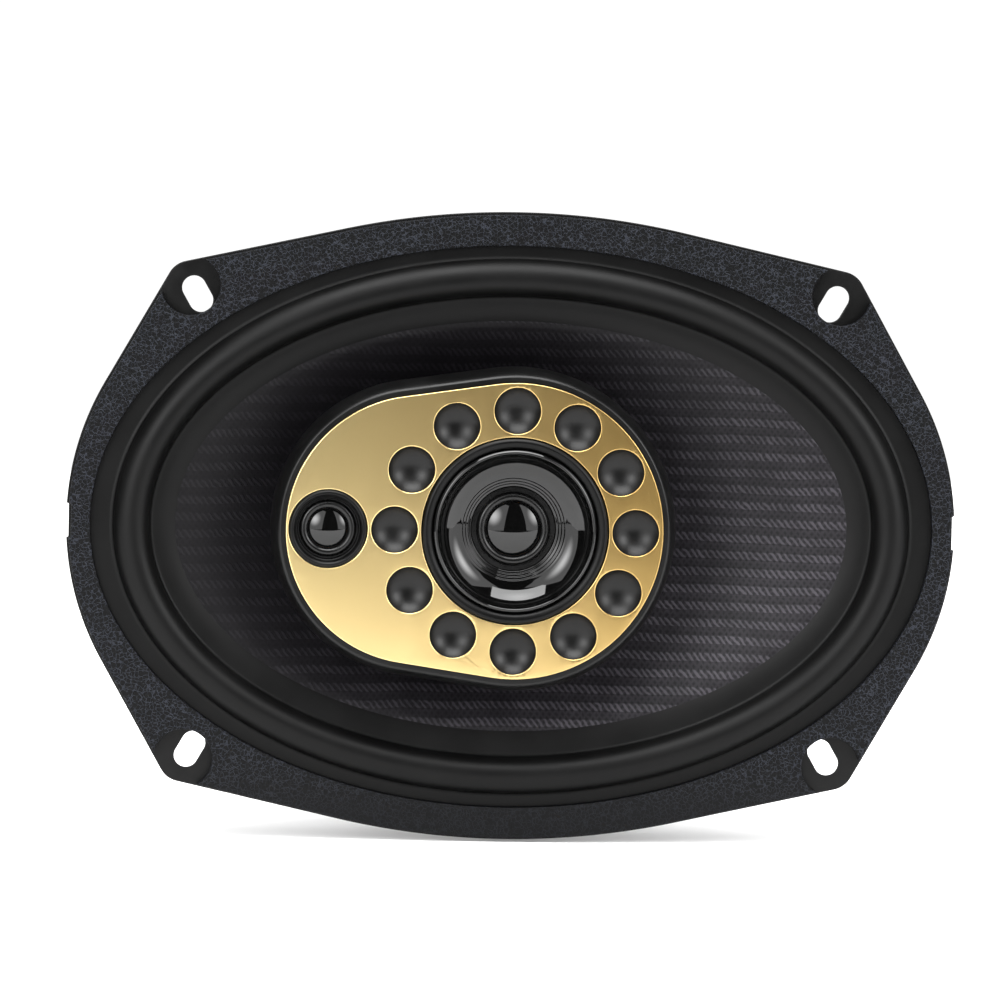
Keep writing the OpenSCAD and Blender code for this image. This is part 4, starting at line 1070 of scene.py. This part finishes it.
def bowl_section():
    throat, shelf = 11.2, MID_R + MID_ROLL
    base = MID_OUT + 0.3
    steps = [(throat, base), (throat + 0.25, base + 0.3), (throat + 0.75, base + 0.35)]
    steps += [(throat + 0.95, base + 0.95)]
    steps += [(throat + 1.5, base + 1.05), (throat + 1.7, base + 1.65), (throat + 2.3, base + 1.75)]
    steps += [(throat + 2.5, base + 2.35), (throat + 3.2, base + 2.5)]
    leans = [18, 22, 26, 30, 33, 36, 39, 42, 45, 50, 58, 66, 74, 80]
    widths = [0.5] * 9 + [0.45, 0.35, 0.3, 0.2, 0.12]
    wall = steep_run(throat + 3.35, base + 2.55, leans, widths)
    r, out = wall[-1]
    lip = [(r + 0.12, out + 0.35), (r + 0.4, out + 0.55), (r + 0.75, out + 0.4), (21.75, out - 0.1)]
    back = [(21.75, 10.7), (26, 10.7), (26, 9.5), (21.4, 9.5), (16.9, MID_OUT + 0.8), (14.5, MID_POT_OUT)]
    foot = [(shelf, MID_POT_OUT), (shelf, MID_OUT - 0.05), (throat, MID_OUT - 0.05)]
    return foot + steps + wall + lip + back


section = bowl_section()
bowl = turned("mid_bowl_gloss", section + [section[0]], steps=160)
soften(bowl, 0.1, 2, 25)
hand_over(bowl, "frame", bowl_gloss, ["mid_horn"], 40)
mid_ring = turned("mid_bezel_ring", bezel_section(), steps=160)
hand_over(mid_ring, "frame", ring_black, ["mid_bezel"])
mid_dome = turned("mid_dome_gloss", dome_section(MID_R, MID_OUT, MID_RISE, FILM))
hand_over(mid_dome, "mid_diaphragm", dome_gloss, ["mid_dome"])
mid_roll = turned("mid_roll", roll_section(MID_R, MID_ROLL, MID_OUT, FILM, 1.2))
hand_over(mid_roll, None, film_black, ["mid_surround"])
bend(mid_roll, lambda x, z: ease(np.hypot(x, z), MID_R, MID_R + MID_ROLL))
print(f"bowl lip at {section[-8][1]:.1f} mm, ring front at {BEZEL_FRONT:.1f} mm")

# %% Turn the tweeter's pieces
TWEETER_R, TWEETER_ROLL, TWEETER_OUT = 5.2, 2.4, limits("tweeter_surround")[2]
TWEETER_RISE = limits("tweeter_dome")[3] - TWEETER_OUT
SMALL_BACK, SMALL_FRONT = limits("tweeter_bezel")[2], limits("tweeter_bezel")[3]


def small_bezel_section():
    outer, top, seat = 10.4, SMALL_FRONT, TWEETER_R + TWEETER_ROLL
    run = [(seat, SMALL_BACK), (outer, SMALL_BACK), (outer, top - 0.9), (outer - 0.2, top - 0.4)]
    run += [(outer - 0.6, top - 0.08), (outer - 1.0, top), (9.0, top - 0.3), (8.75, top - 0.7)]
    run += [(8.6, top - 1.4)]
    run += [(8.4, top - 1.65), (8.25, top - 1.7), (8.15, top - 2.4), (8.05, TWEETER_OUT - 0.05)]
    return run + [(seat, TWEETER_OUT - 0.05), (seat, SMALL_BACK)]


small_ring = turned("tweeter_bezel_ring", small_bezel_section(), TWEETER_AT, 112)
soften(small_ring, 0.08, 2, 30)
hand_over(small_ring, "frame", ring_black, ["tweeter_bezel"])
section = dome_section(TWEETER_R, TWEETER_OUT, TWEETER_RISE, FILM, 16)
small_dome = turned("tweeter_dome_gloss", section, TWEETER_AT, 80)
hand_over(small_dome, "tweeter_diaphragm", dome_gloss, ["tweeter_dome"])
section = roll_section(TWEETER_R, TWEETER_ROLL, TWEETER_OUT, FILM, 0.4)
small_roll = turned("tweeter_roll", section, TWEETER_AT, 80)
hand_over(small_roll, None, film_black, ["tweeter_surround"])
bend(
    small_roll,
    lambda x, z: ease(np.hypot(x - TWEETER_AT, z), TWEETER_R, TWEETER_R + TWEETER_ROLL),
)

# %% [markdown]
# ## The motor
# Behind the basket sits the motor: a steel front plate, a ring magnet of black ferrite, and a yoke whose pole
# stands in the coil. Their sections are simple, so the lathe makes them in one go, with a real bevel where the
# steel is turned and a wider one on the ferrite, which is brittle at its edges.

# %% Turn the motor
def ring_section(inner, outer, back, front):
    return [(inner, back), (outer, back), (outer, front), (inner, front), (inner, back)]


def turned_ring(name, node, inner, edge, body, material, steps=128):
    """A plain ring whose outer size and height come from its CAD node."""
    right, _, back, front = limits(node)
    piece = turned(name, ring_section(inner, right, back, front), steps=steps)
    soften(piece, edge, 3)
    return hand_over(piece, body, material, [node])


MAST_R, POLE_R, MAST_HOLE, FORMER_R, COLLAR_R = 6.0, 15.0, 6.1, 15.5, 15.85
turned_ring("front_plate_steel", "front_plate", 17.55, 0.5, "frame", plated)
turned_ring("ring_magnet", "magnet", 22.45, 0.9, "frame", ferrite)
turned_ring("mast_washer_steel", "mast_washer", MAST_HOLE, 0.25, "frame", plated, 64)
turned_ring("dust_seal_foam", "dust_seal", MAST_R + TOUCH, 0.4, "frame", foam, 64)
turned_ring("coil_former", "voice_coil_former", FORMER_R, 0.05, "cone_assembly", foil)
turned_ring("coil_winding", "voice_coil", COLLAR_R, 0.25, "cone_assembly", winding)

PLATE_R, _, YOKE_BACK, POLE_FRONT = limits("pole_yoke")
yoke_front = limits("magnet")[2]
yoke = turned("pole_yoke_steel", [
    (MAST_HOLE, YOKE_BACK), (PLATE_R - 1.6, YOKE_BACK), (PLATE_R, YOKE_BACK + 1.6), (PLATE_R, yoke_front),
    (POLE_R, yoke_front), (POLE_R, POLE_FRONT), (MAST_HOLE, POLE_FRONT), (MAST_HOLE, YOKE_BACK),
], steps=128)
soften(yoke, 0.4, 3)
hand_over(yoke, "frame", plated, ["pole_yoke"])

# %% Turn the mast and rivets
MAST_BORE, SHOULDER_R, SHOULDER = 3.6, 9.0, 3
_, _, MAST_BACK, MAST_FRONT = limits("mast")
shoulder = POLE_FRONT + TOUCH
mast = turned("mast_tube", [
    (MAST_BORE, MAST_BACK), (MAST_R, MAST_BACK), (MAST_R, shoulder), (SHOULDER_R, shoulder),
    (SHOULDER_R, shoulder + SHOULDER), (MAST_R, shoulder + SHOULDER), (MAST_R, MAST_FRONT),
    (MAST_BORE, MAST_FRONT), (MAST_BORE, MAST_BACK),
], steps=64)
soften(mast, 0.35)
hand_over(mast, "frame", zinc, ["mast"])

RIVET_CIRCLE, RIVET_R = 34.0, 2.35
_, _, RIVET_BACK, RIVET_FRONT = limits("motor_rivets")
rivets = turned("motor_rivet_heads", [
    (0, RIVET_BACK), (RIVET_R, RIVET_BACK), (RIVET_R, SEAT_OUT + TOUCH), (RIVET_R + 1.4, SEAT_OUT + TOUCH),
    (RIVET_R + 1.2, SEAT_OUT + 0.7), (RIVET_R - 0.2, RIVET_FRONT), (0, RIVET_FRONT), (0, RIVET_BACK),
], steps=32)
edit(rivets)
move(spot(*heading(ROUND / 8, RIVET_CIRCLE), 0))
for quarter in range(3):
    bpy.ops.mesh.duplicate()
    bpy.ops.transform.rotate(value=ROUND / 4, orient_axis="Y", center_override=(0, 0, 0))
object_mode()
hand_over(rivets, "frame", zinc, ["motor_rivets"])

# %% [markdown]
# ## The nut
# The nut has six flats. It starts as a six-sided cylinder, its hole is taken out with a cutter, and a bevel takes
# the sharpness off its corners.

# %% Make the nut
NUT_FLATS = 19
_, _, NUT_BACK, NUT_FRONT = limits("mast_nut")
nut = cylinder("mast_nut_steel", NUT_FLATS / math.sqrt(3), NUT_BACK, NUT_FRONT, sides=6)
cut(nut, cylinder("nut_bore", MAST_R + TOUCH, NUT_BACK - 1, NUT_FRONT + 1, sides=48))
soften(nut, 0.7, 3, 40)
hand_over(nut, "frame", zinc, ["mast_nut"], 25)

# %% [markdown]
# ## The suspension
# The amber cloth behind the cone keeps the coil centred. Its waves are a sine on the section, so the lathe
# makes it too. For each point a share of the coil's motion is worked out from its distance from the axis, as
# for the surround, but the cloth is not bound to the coil.

# %% Turn the suspension
CLOTH_IN, CLOTH_OUT, CLOTH, WAVE, WAVES, COLLAR = 18.0, 45.4, 0.6, 1.2, 6, 1.6


def spider_section():
    def waves(lift, order):
        run = []
        for i in order:
            share = i / (WAVES * 10)
            out = LEDGE_OUT + CLOTH / 2 + WAVE * math.sin(ROUND * WAVES * share) + lift
            run.append((CLOTH_IN + (CLOTH_OUT - CLOTH_IN) * share, out))
        return run

    count = WAVES * 10
    foot = limits("spider")[0]
    collar = [(COLLAR_R, LEDGE_OUT), (COLLAR_R, LEDGE_OUT + COLLAR), (COLLAR_R + CLOTH, LEDGE_OUT + COLLAR)]
    collar += [(COLLAR_R + CLOTH, LEDGE_OUT + CLOTH)]
    run = collar + waves(CLOTH / 2, range(count + 1)) + [(foot, LEDGE_OUT + CLOTH), (foot, LEDGE_OUT)]
    return run + waves(-CLOTH / 2, range(count, -1, -1)) + [collar[0]]


spider = turned("spider_waved", spider_section(), steps=128)
hand_over(spider, None, cloth, ["spider"], 60)
bend(spider, lambda x, z: ease(np.hypot(x, z), CLOTH_IN, CLOTH_OUT))

# %% [markdown]
# ## The pod's back
# Behind the pod a second moulding closes it: a shallow tray with the pod's outline, a bowl behind the midrange,
# a well behind the tweeter and the socket that slips on the mast. Turned and drawn parts are joined into one.

# %% Mould the pod's back
_, _, SOCKET_BACK, TRAY_FRONT = limits("pod_back")
TRAY_BACK = TRAY_FRONT - 2.95
BOWL_OUT, BOWL_R, BOWL_MOUTH, MOULD_WALL, SOCKET_R = -17, 20, 27, 1.5, 9.5


def join(pieces, name):
    pick(*pieces)
    bpy.ops.object.join()
    joined = bpy.context.object
    joined.name = name
    return joined


def make_pod_back():
    tray = egg_block("tray", 1.8, TRAY_BACK, TRAY_FRONT - TRAY_BACK)
    close_up()
    well_back = limits("tweeter_cup")[2] - TOUCH - MOULD_WALL
    well = cylinder("well", 12.2, well_back, TRAY_BACK + 0.3, TWEETER_AT, sides=72)
    hollow = egg_block("hollow", 0.3, TRAY_BACK + MOULD_WALL, 6)
    close_up()
    cut(tray, hollow)
    cut(tray, cylinder("mouth", BOWL_MOUTH - 0.4, TRAY_BACK - 1, TRAY_BACK + 4))
    soften(tray, 0.4, 3, 50)
    bowl = turned("bowl", [
        (MAST_HOLE, BOWL_OUT), (MAST_HOLE, SOCKET_BACK), (SOCKET_R, SOCKET_BACK), (SOCKET_R, BOWL_OUT),
        (BOWL_R, BOWL_OUT), (BOWL_R + MOULD_WALL, BOWL_OUT + MOULD_WALL),
        (BOWL_MOUTH + MOULD_WALL, TRAY_BACK + 0.5), (BOWL_MOUTH - 0.1, TRAY_BACK + 1.2),
        (BOWL_R - 0.6, BOWL_OUT + MOULD_WALL), (MAST_HOLE, BOWL_OUT + MOULD_WALL), (MAST_HOLE, BOWL_OUT),
    ])
    soften(bowl, 0.5, 3, 25)
    soften(well, 0.6, 3, 50)
    back = join([tray, bowl, well], "pod_back_moulding")
    return hand_over(back, "frame", body_black, ["pod_back"], 30)


make_pod_back()

# %% [markdown]
# ## Terminals
# The terminal board hangs under the tub on a tab. It carries a wide positive blade, a narrow negative one and the
# two crossover capacitors.

# %% The board
_, _, BOARD_BACK, BOARD_FRONT = limits("terminal_board")
board_low, board_high = (v.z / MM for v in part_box("terminal_board"))
BOARD_UP = (board_low + board_high) / 2
BOARD_LENGTH = 2 * limits("terminal_board")[0]
TAB_RIVET, TAB_RIVET_UP, BLADE_AT = 6.0, -58.0, 17.0


def make_board():
    size = (BOARD_LENGTH, board_high - board_low, BOARD_FRONT - BOARD_BACK)
    board = box_piece("terminal_board_fibre", size, (0, BOARD_UP, (BOARD_BACK + BOARD_FRONT) / 2), 0)
    for at, radius, up in ((TAB_RIVET, 1.3, TAB_RIVET_UP), (BLADE_AT, 1.2, BOARD_UP)):
        for across in (-at, at):
            cut(board, cylinder("hole", radius, BOARD_BACK - 1, BOARD_FRONT + 1, across, up, 24))
    soften(board, 0.15, 2, 50)
    return hand_over(board, "frame", board_fibre, ["terminal_board"], 30)


make_board()


# %% Blades and capacitors
FOOT_HEIGHT = 7


def make_blade(name, node, width, across):
    """Folded from strip: a foot on the board and a tongue to the rear with a lock hole."""
    thick, back = 0.8, limits(node)[2]
    foot = box_piece("foot", (width, FOOT_HEIGHT, thick), (across, BOARD_UP, BOARD_BACK - TOUCH - thick / 2), 0)
    cut(foot, cylinder("hole", 1.1, BOARD_BACK - 3, BOARD_BACK + 1, across, BOARD_UP, 24))
    tongue_up = BOARD_UP - FOOT_HEIGHT / 2 + thick / 2
    middle = (across, tongue_up, (BOARD_BACK + back) / 2)
    tongue = box_piece("tongue", (width, thick, BOARD_BACK - back), middle, 0)
    clear()
    bpy.ops.mesh.primitive_cylinder_add(
        vertices=24, radius=0.9 * MM, depth=4 * MM, location=spot(across, tongue_up, back + 3),
    )
    cut(tongue, settle())
    blade = join([foot, tongue], name)
    soften(blade, 0.15, 2, 50)
    return hand_over(blade, "frame", tin, [node], 30)


make_blade("blade_positive_tin", "terminal_positive", 6.3, -BLADE_AT)
make_blade("blade_negative_tin", "terminal_negative", 4.8, BLADE_AT)


def make_capacitor(name, node):
    """A can in a plain sleeve: rounded shoulders, a sleeve lip and a flat top."""
    low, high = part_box(node)
    across, up = (low.x + high.x) / 2 / MM, (low.z + high.z) / 2 / MM
    r, back, front = (high.x - low.x) / 2 / MM, -high.y / MM, -low.y / MM
    can = turned(name, [
        (0, back + 0.25), (r * 0.72, back + 0.25), (r * 0.78, back), (r - 0.45, back), (r - 0.1, back + 0.15),
        (r, back + 0.5), (r, front - 1.9), (r - 0.35, front - 1.6), (r - 0.35, front - 1.2), (r, front - 0.9),
        (r, front), (0, front), (0, back + 0.25),
    ], steps=48)
    edit(can)
    move(spot(across, up, 0))
    object_mode()
    soften(can, 0.12, 2, 30)
    return hand_over(can, "frame", sleeve, [node], 40)


make_capacitor("capacitor_mid_can", "capacitor_mid")
make_capacitor("capacitor_tweeter_can", "capacitor_tweeter")

# %% [markdown]
# ## Leads
# Two braided leads run from the board through the windows to the eyelets at the cone's neck, and are left on no
# body. A cable for the small drivers comes down the mast and round the magnet. Their routes are the CAD's own,
# point by point, and every piece is one smooth curve with a round section, made into a mesh at the end.

# %% Draw a route
EYELET_AT, EYELET_UP = 8.0, -25.0
CONE_MID_B = (EDGE_B + NECK_R) / 2
CONE_MID_OUT = CONE_EDGE_OUT - 0.46 * (CONE_EDGE_OUT - NECK_OUT)
slope = (CONE_MID_OUT - NECK_FRONT) / (CONE_MID_B - NECK_R)
EYELET_OUT = NECK_FRONT + (math.hypot(EYELET_AT, EYELET_UP) - NECK_R) * slope


def between(points, i, t):
    """A place between two points of a route, on the same smooth line as the CAD's."""
    a, b = points[max(i - 1, 0)], points[i]
    c, d = points[i + 1], points[min(i + 2, len(points) - 1)]
    return 0.5 * (2 * b + (c - a) * t + (2 * a - 5 * b + 4 * c - d) * t * t + (3 * b - a - 3 * c + d) * t ** 3)


def run_wire(name, route, radius, material, nodes, body="frame"):
    points = [spot(*p) for p in route]
    line = [between(points, i, s / 6) for i in range(len(points) - 1) for s in range(6)] + [points[-1]]
    curve = bpy.data.curves.new(name, "CURVE")
    curve.dimensions, curve.bevel_depth = "3D", radius * MM
    curve.bevel_resolution, curve.use_fill_caps = 3, True
    spline = curve.splines.new("POLY")
    spline.points.add(len(line) - 1)
    for point, place in zip(spline.points, line):
        point.co = (*place, 1)
    wire = bpy.data.objects.new(name, curve)
    bpy.context.scene.collection.objects.link(wire)
    pick(wire)
    bpy.ops.object.convert(target="MESH")
    return hand_over(bpy.context.object, body, material, nodes, 60)


# %% Leads, cable and the tweeter's lead
LEAD_R, CABLE_R = 0.7, 1.3
for side, node in ((-1, "lead_positive"), (1, "lead_negative")):
    route = [
        (side * BLADE_AT, BOARD_UP, BOARD_BACK + 2.9), (side * 17, BOARD_UP, -29), (side * 15, -58, -22),
        (side * 13, -49, -20), (side * 11, -40, -23), (side * 9, -31, EYELET_OUT - 6),
        (side * EYELET_AT, EYELET_UP, EYELET_OUT - 4.4),
    ]
    lead = run_wire(node + "_braid", route, LEAD_R, braid, [node], None)
    bend(lead, lambda x, z: 1 - ease(z, -52, -27))

NUT_REAR = limits("mast_nut")[2]
cable_route = [
    (-17.6, 0, -4), (-16.6, 0, -9.5), (-11.5, 0, -12.2), (-4, 0, -12.6), (-0.8, 0, -16), (0, 0, -24),
    (0, 0, -60), (0, 0, NUT_REAR - 1), (0, -6, NUT_REAR - 5), (0, -20, NUT_REAR + 0.5),
    (0, -38, YOKE_BACK - 3.4), (0, -47.5, YOKE_BACK + 1.5), (0, -49, -60), (0, -51, -48),
    (0, -57, BOARD_BACK - 4), (0, -60, BOARD_BACK - 1.5),
]
run_wire("pod_cable_sheath", cable_route, CABLE_R, sheath, ["pod_cable"])
tweeter_route = [
    (-39.7, 0, TRAY_BACK + 3.4), (-34, 0, TRAY_BACK + 3.4), (-27.2, 0, TRAY_BACK + 3.1),
    (-23.4, 0, 1.5), (-21, 0, -3),
]
run_wire("tweeter_lead_sheath", tweeter_route, LEAD_R, red_sheath, ["tweeter_lead"])

# %% [markdown]
# ## What stays from the CAD
# The pieces that are shut inside the pod and the small fixings have the right shape already. They stay as they
# are, and only get a proper finish.

# %% Finish the CAD pieces that stay
KEPT = {
    "lead_eyelets": tin, "pod_screws": zinc, "mid_former": foil, "mid_coil": winding, "mid_pole_plate": plated,
    "mid_magnet": small_magnet, "mid_cup": plated, "tweeter_former": foil, "tweeter_coil": winding,
    "tweeter_pole_plate": plated, "tweeter_magnet": small_magnet, "tweeter_cup": plated, "terminal_rivets": zinc,
}
for node, material in KEPT.items():
    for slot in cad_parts[node].material_slots:
        slot.material = material
print("kept from the CAD:", ", ".join(KEPT))

# %% [markdown]
# ## The studio
# The light is that of a product table: a pale floor, a large soft box on either side, one overhead, and a dark
# room behind the camera, which the gloss shows as black between the boxes. Each box is a panel that glows more
# in its middle than at its edge. Two plain lamps light the rear. The panels and the floor are stage, not object.

# %% Light panels
def towards(azimuth, elevation):
    """The direction from the speaker at two angles in degrees; azimuth is from the front towards the right."""
    a, e = math.radians(azimuth), math.radians(elevation)
    return Vector((math.sin(a) * math.cos(e), -math.cos(a) * math.cos(e), math.sin(e)))


def panel_finish(name, strength, hot, width, height):
    finish = Finish(name)
    across, depth, up = finish.axes()
    far = ((across / (width * 500)) ** 2 + (up / (height * 500)) ** 2) ** 0.5
    glow = 1 - far.ramp(0.0, 0.75)
    emission = finish.node("ShaderNodeEmission", {}, {"Strength": strength + glow * hot})
    ends = finish.tree.nodes["Material Output"].inputs["Surface"]
    finish.tree.links.new(emission.socket, ends)
    return finish.material


def panel(name, azimuth, elevation, distance, width, height, strength, hot):
    """A glowing panel that faces the speaker."""
    clear()
    bpy.ops.mesh.primitive_plane_add(size=1, rotation=FACING)
    bpy.context.object.scale = (width, height, 1)
    sheet = settle(name)
    sheet.location = towards(azimuth, elevation) * distance
    sheet.rotation_mode = "QUATERNION"
    sheet.rotation_quaternion = towards(azimuth, elevation).to_track_quat("-Y", "Z")
    sheet.data.materials.append(panel_finish(name + "_glow", strength, hot, width, height))
    sheet.visible_camera = False
    return sheet


panel("box_left", -40, 20, 1.3, 1.25, 1.45, 2.0, 11.0)
panel("box_right", 53, 21, 1.3, 1.15, 1.45, 2.0, 11.0)
panel("box_top", -4, 72, 1.3, 1.2, 1.0, 9.0, 3.0)


def lamp(name, azimuth, elevation, distance, size, power):
    clear()
    bpy.ops.object.light_add(type="AREA", location=towards(azimuth, elevation) * distance)
    light = bpy.context.object
    light.name = name
    light.data.size, light.data.energy = size, power
    light.rotation_mode = "QUATERNION"
    light.rotation_quaternion = towards(azimuth, elevation).to_track_quat("Z", "Y")
    light.visible_camera = False
    return light


lamp("lamp_rear_left", -140, 30, 1.4, 0.8, 6)
lamp("lamp_rear_right", 140, 30, 1.4, 0.8, 6)

# %% Floor and room
FLOOR_SIZE, FLOOR_FRONT, FLOOR_GAP = 1.6, 0.4, 0.0005


def make_floor():
    clear()
    middle = (0, FLOOR_SIZE / 2 - FLOOR_FRONT, cad_low.z - FLOOR_GAP)
    bpy.ops.mesh.primitive_plane_add(size=FLOOR_SIZE, location=middle)
    floor = bpy.context.object
    floor.name = "floor"
    white = skin("floor_white", grey(0.80), grey(0.83), (0.9, 1.0), 3, 0.01, 90, specular_ior_level=0.0)
    floor.data.materials.append(white)
    return floor


TO_CAMERA, TO_MATT, TO_GLOSS = 1.05, 1.25, 0.03


def light_room():
    """White to the camera, pale to what is matt, and nearly dark to what mirrors it."""
    world = bpy.data.worlds.new("room")
    bpy.context.scene.world = world
    room = Bench(world)
    seen = room.node("ShaderNodeLightPath", {}, {}, "Is Camera Ray")
    matt = Wire(room, seen.socket.node.outputs["Is Diffuse Ray"])
    background = room.tree.nodes["Background"]
    room.plug(background.inputs["Color"], (1, 1, 1, 1))
    room.plug(background.inputs["Strength"], seen * TO_CAMERA + matt * TO_MATT + TO_GLOSS)


make_floor()
light_room()
bpy.context.scene.view_settings.view_transform = "Standard"

# %% [markdown]
# ## The CAD model's box
# The CAD model's box, as it was loaded, is written down. The finished speaker has to stay inside the CAD
# model's box.

# %% Write the sizes and finish
print("CAD box", [round(v / MM, 1) for v in (*cad_low, *cad_high)])
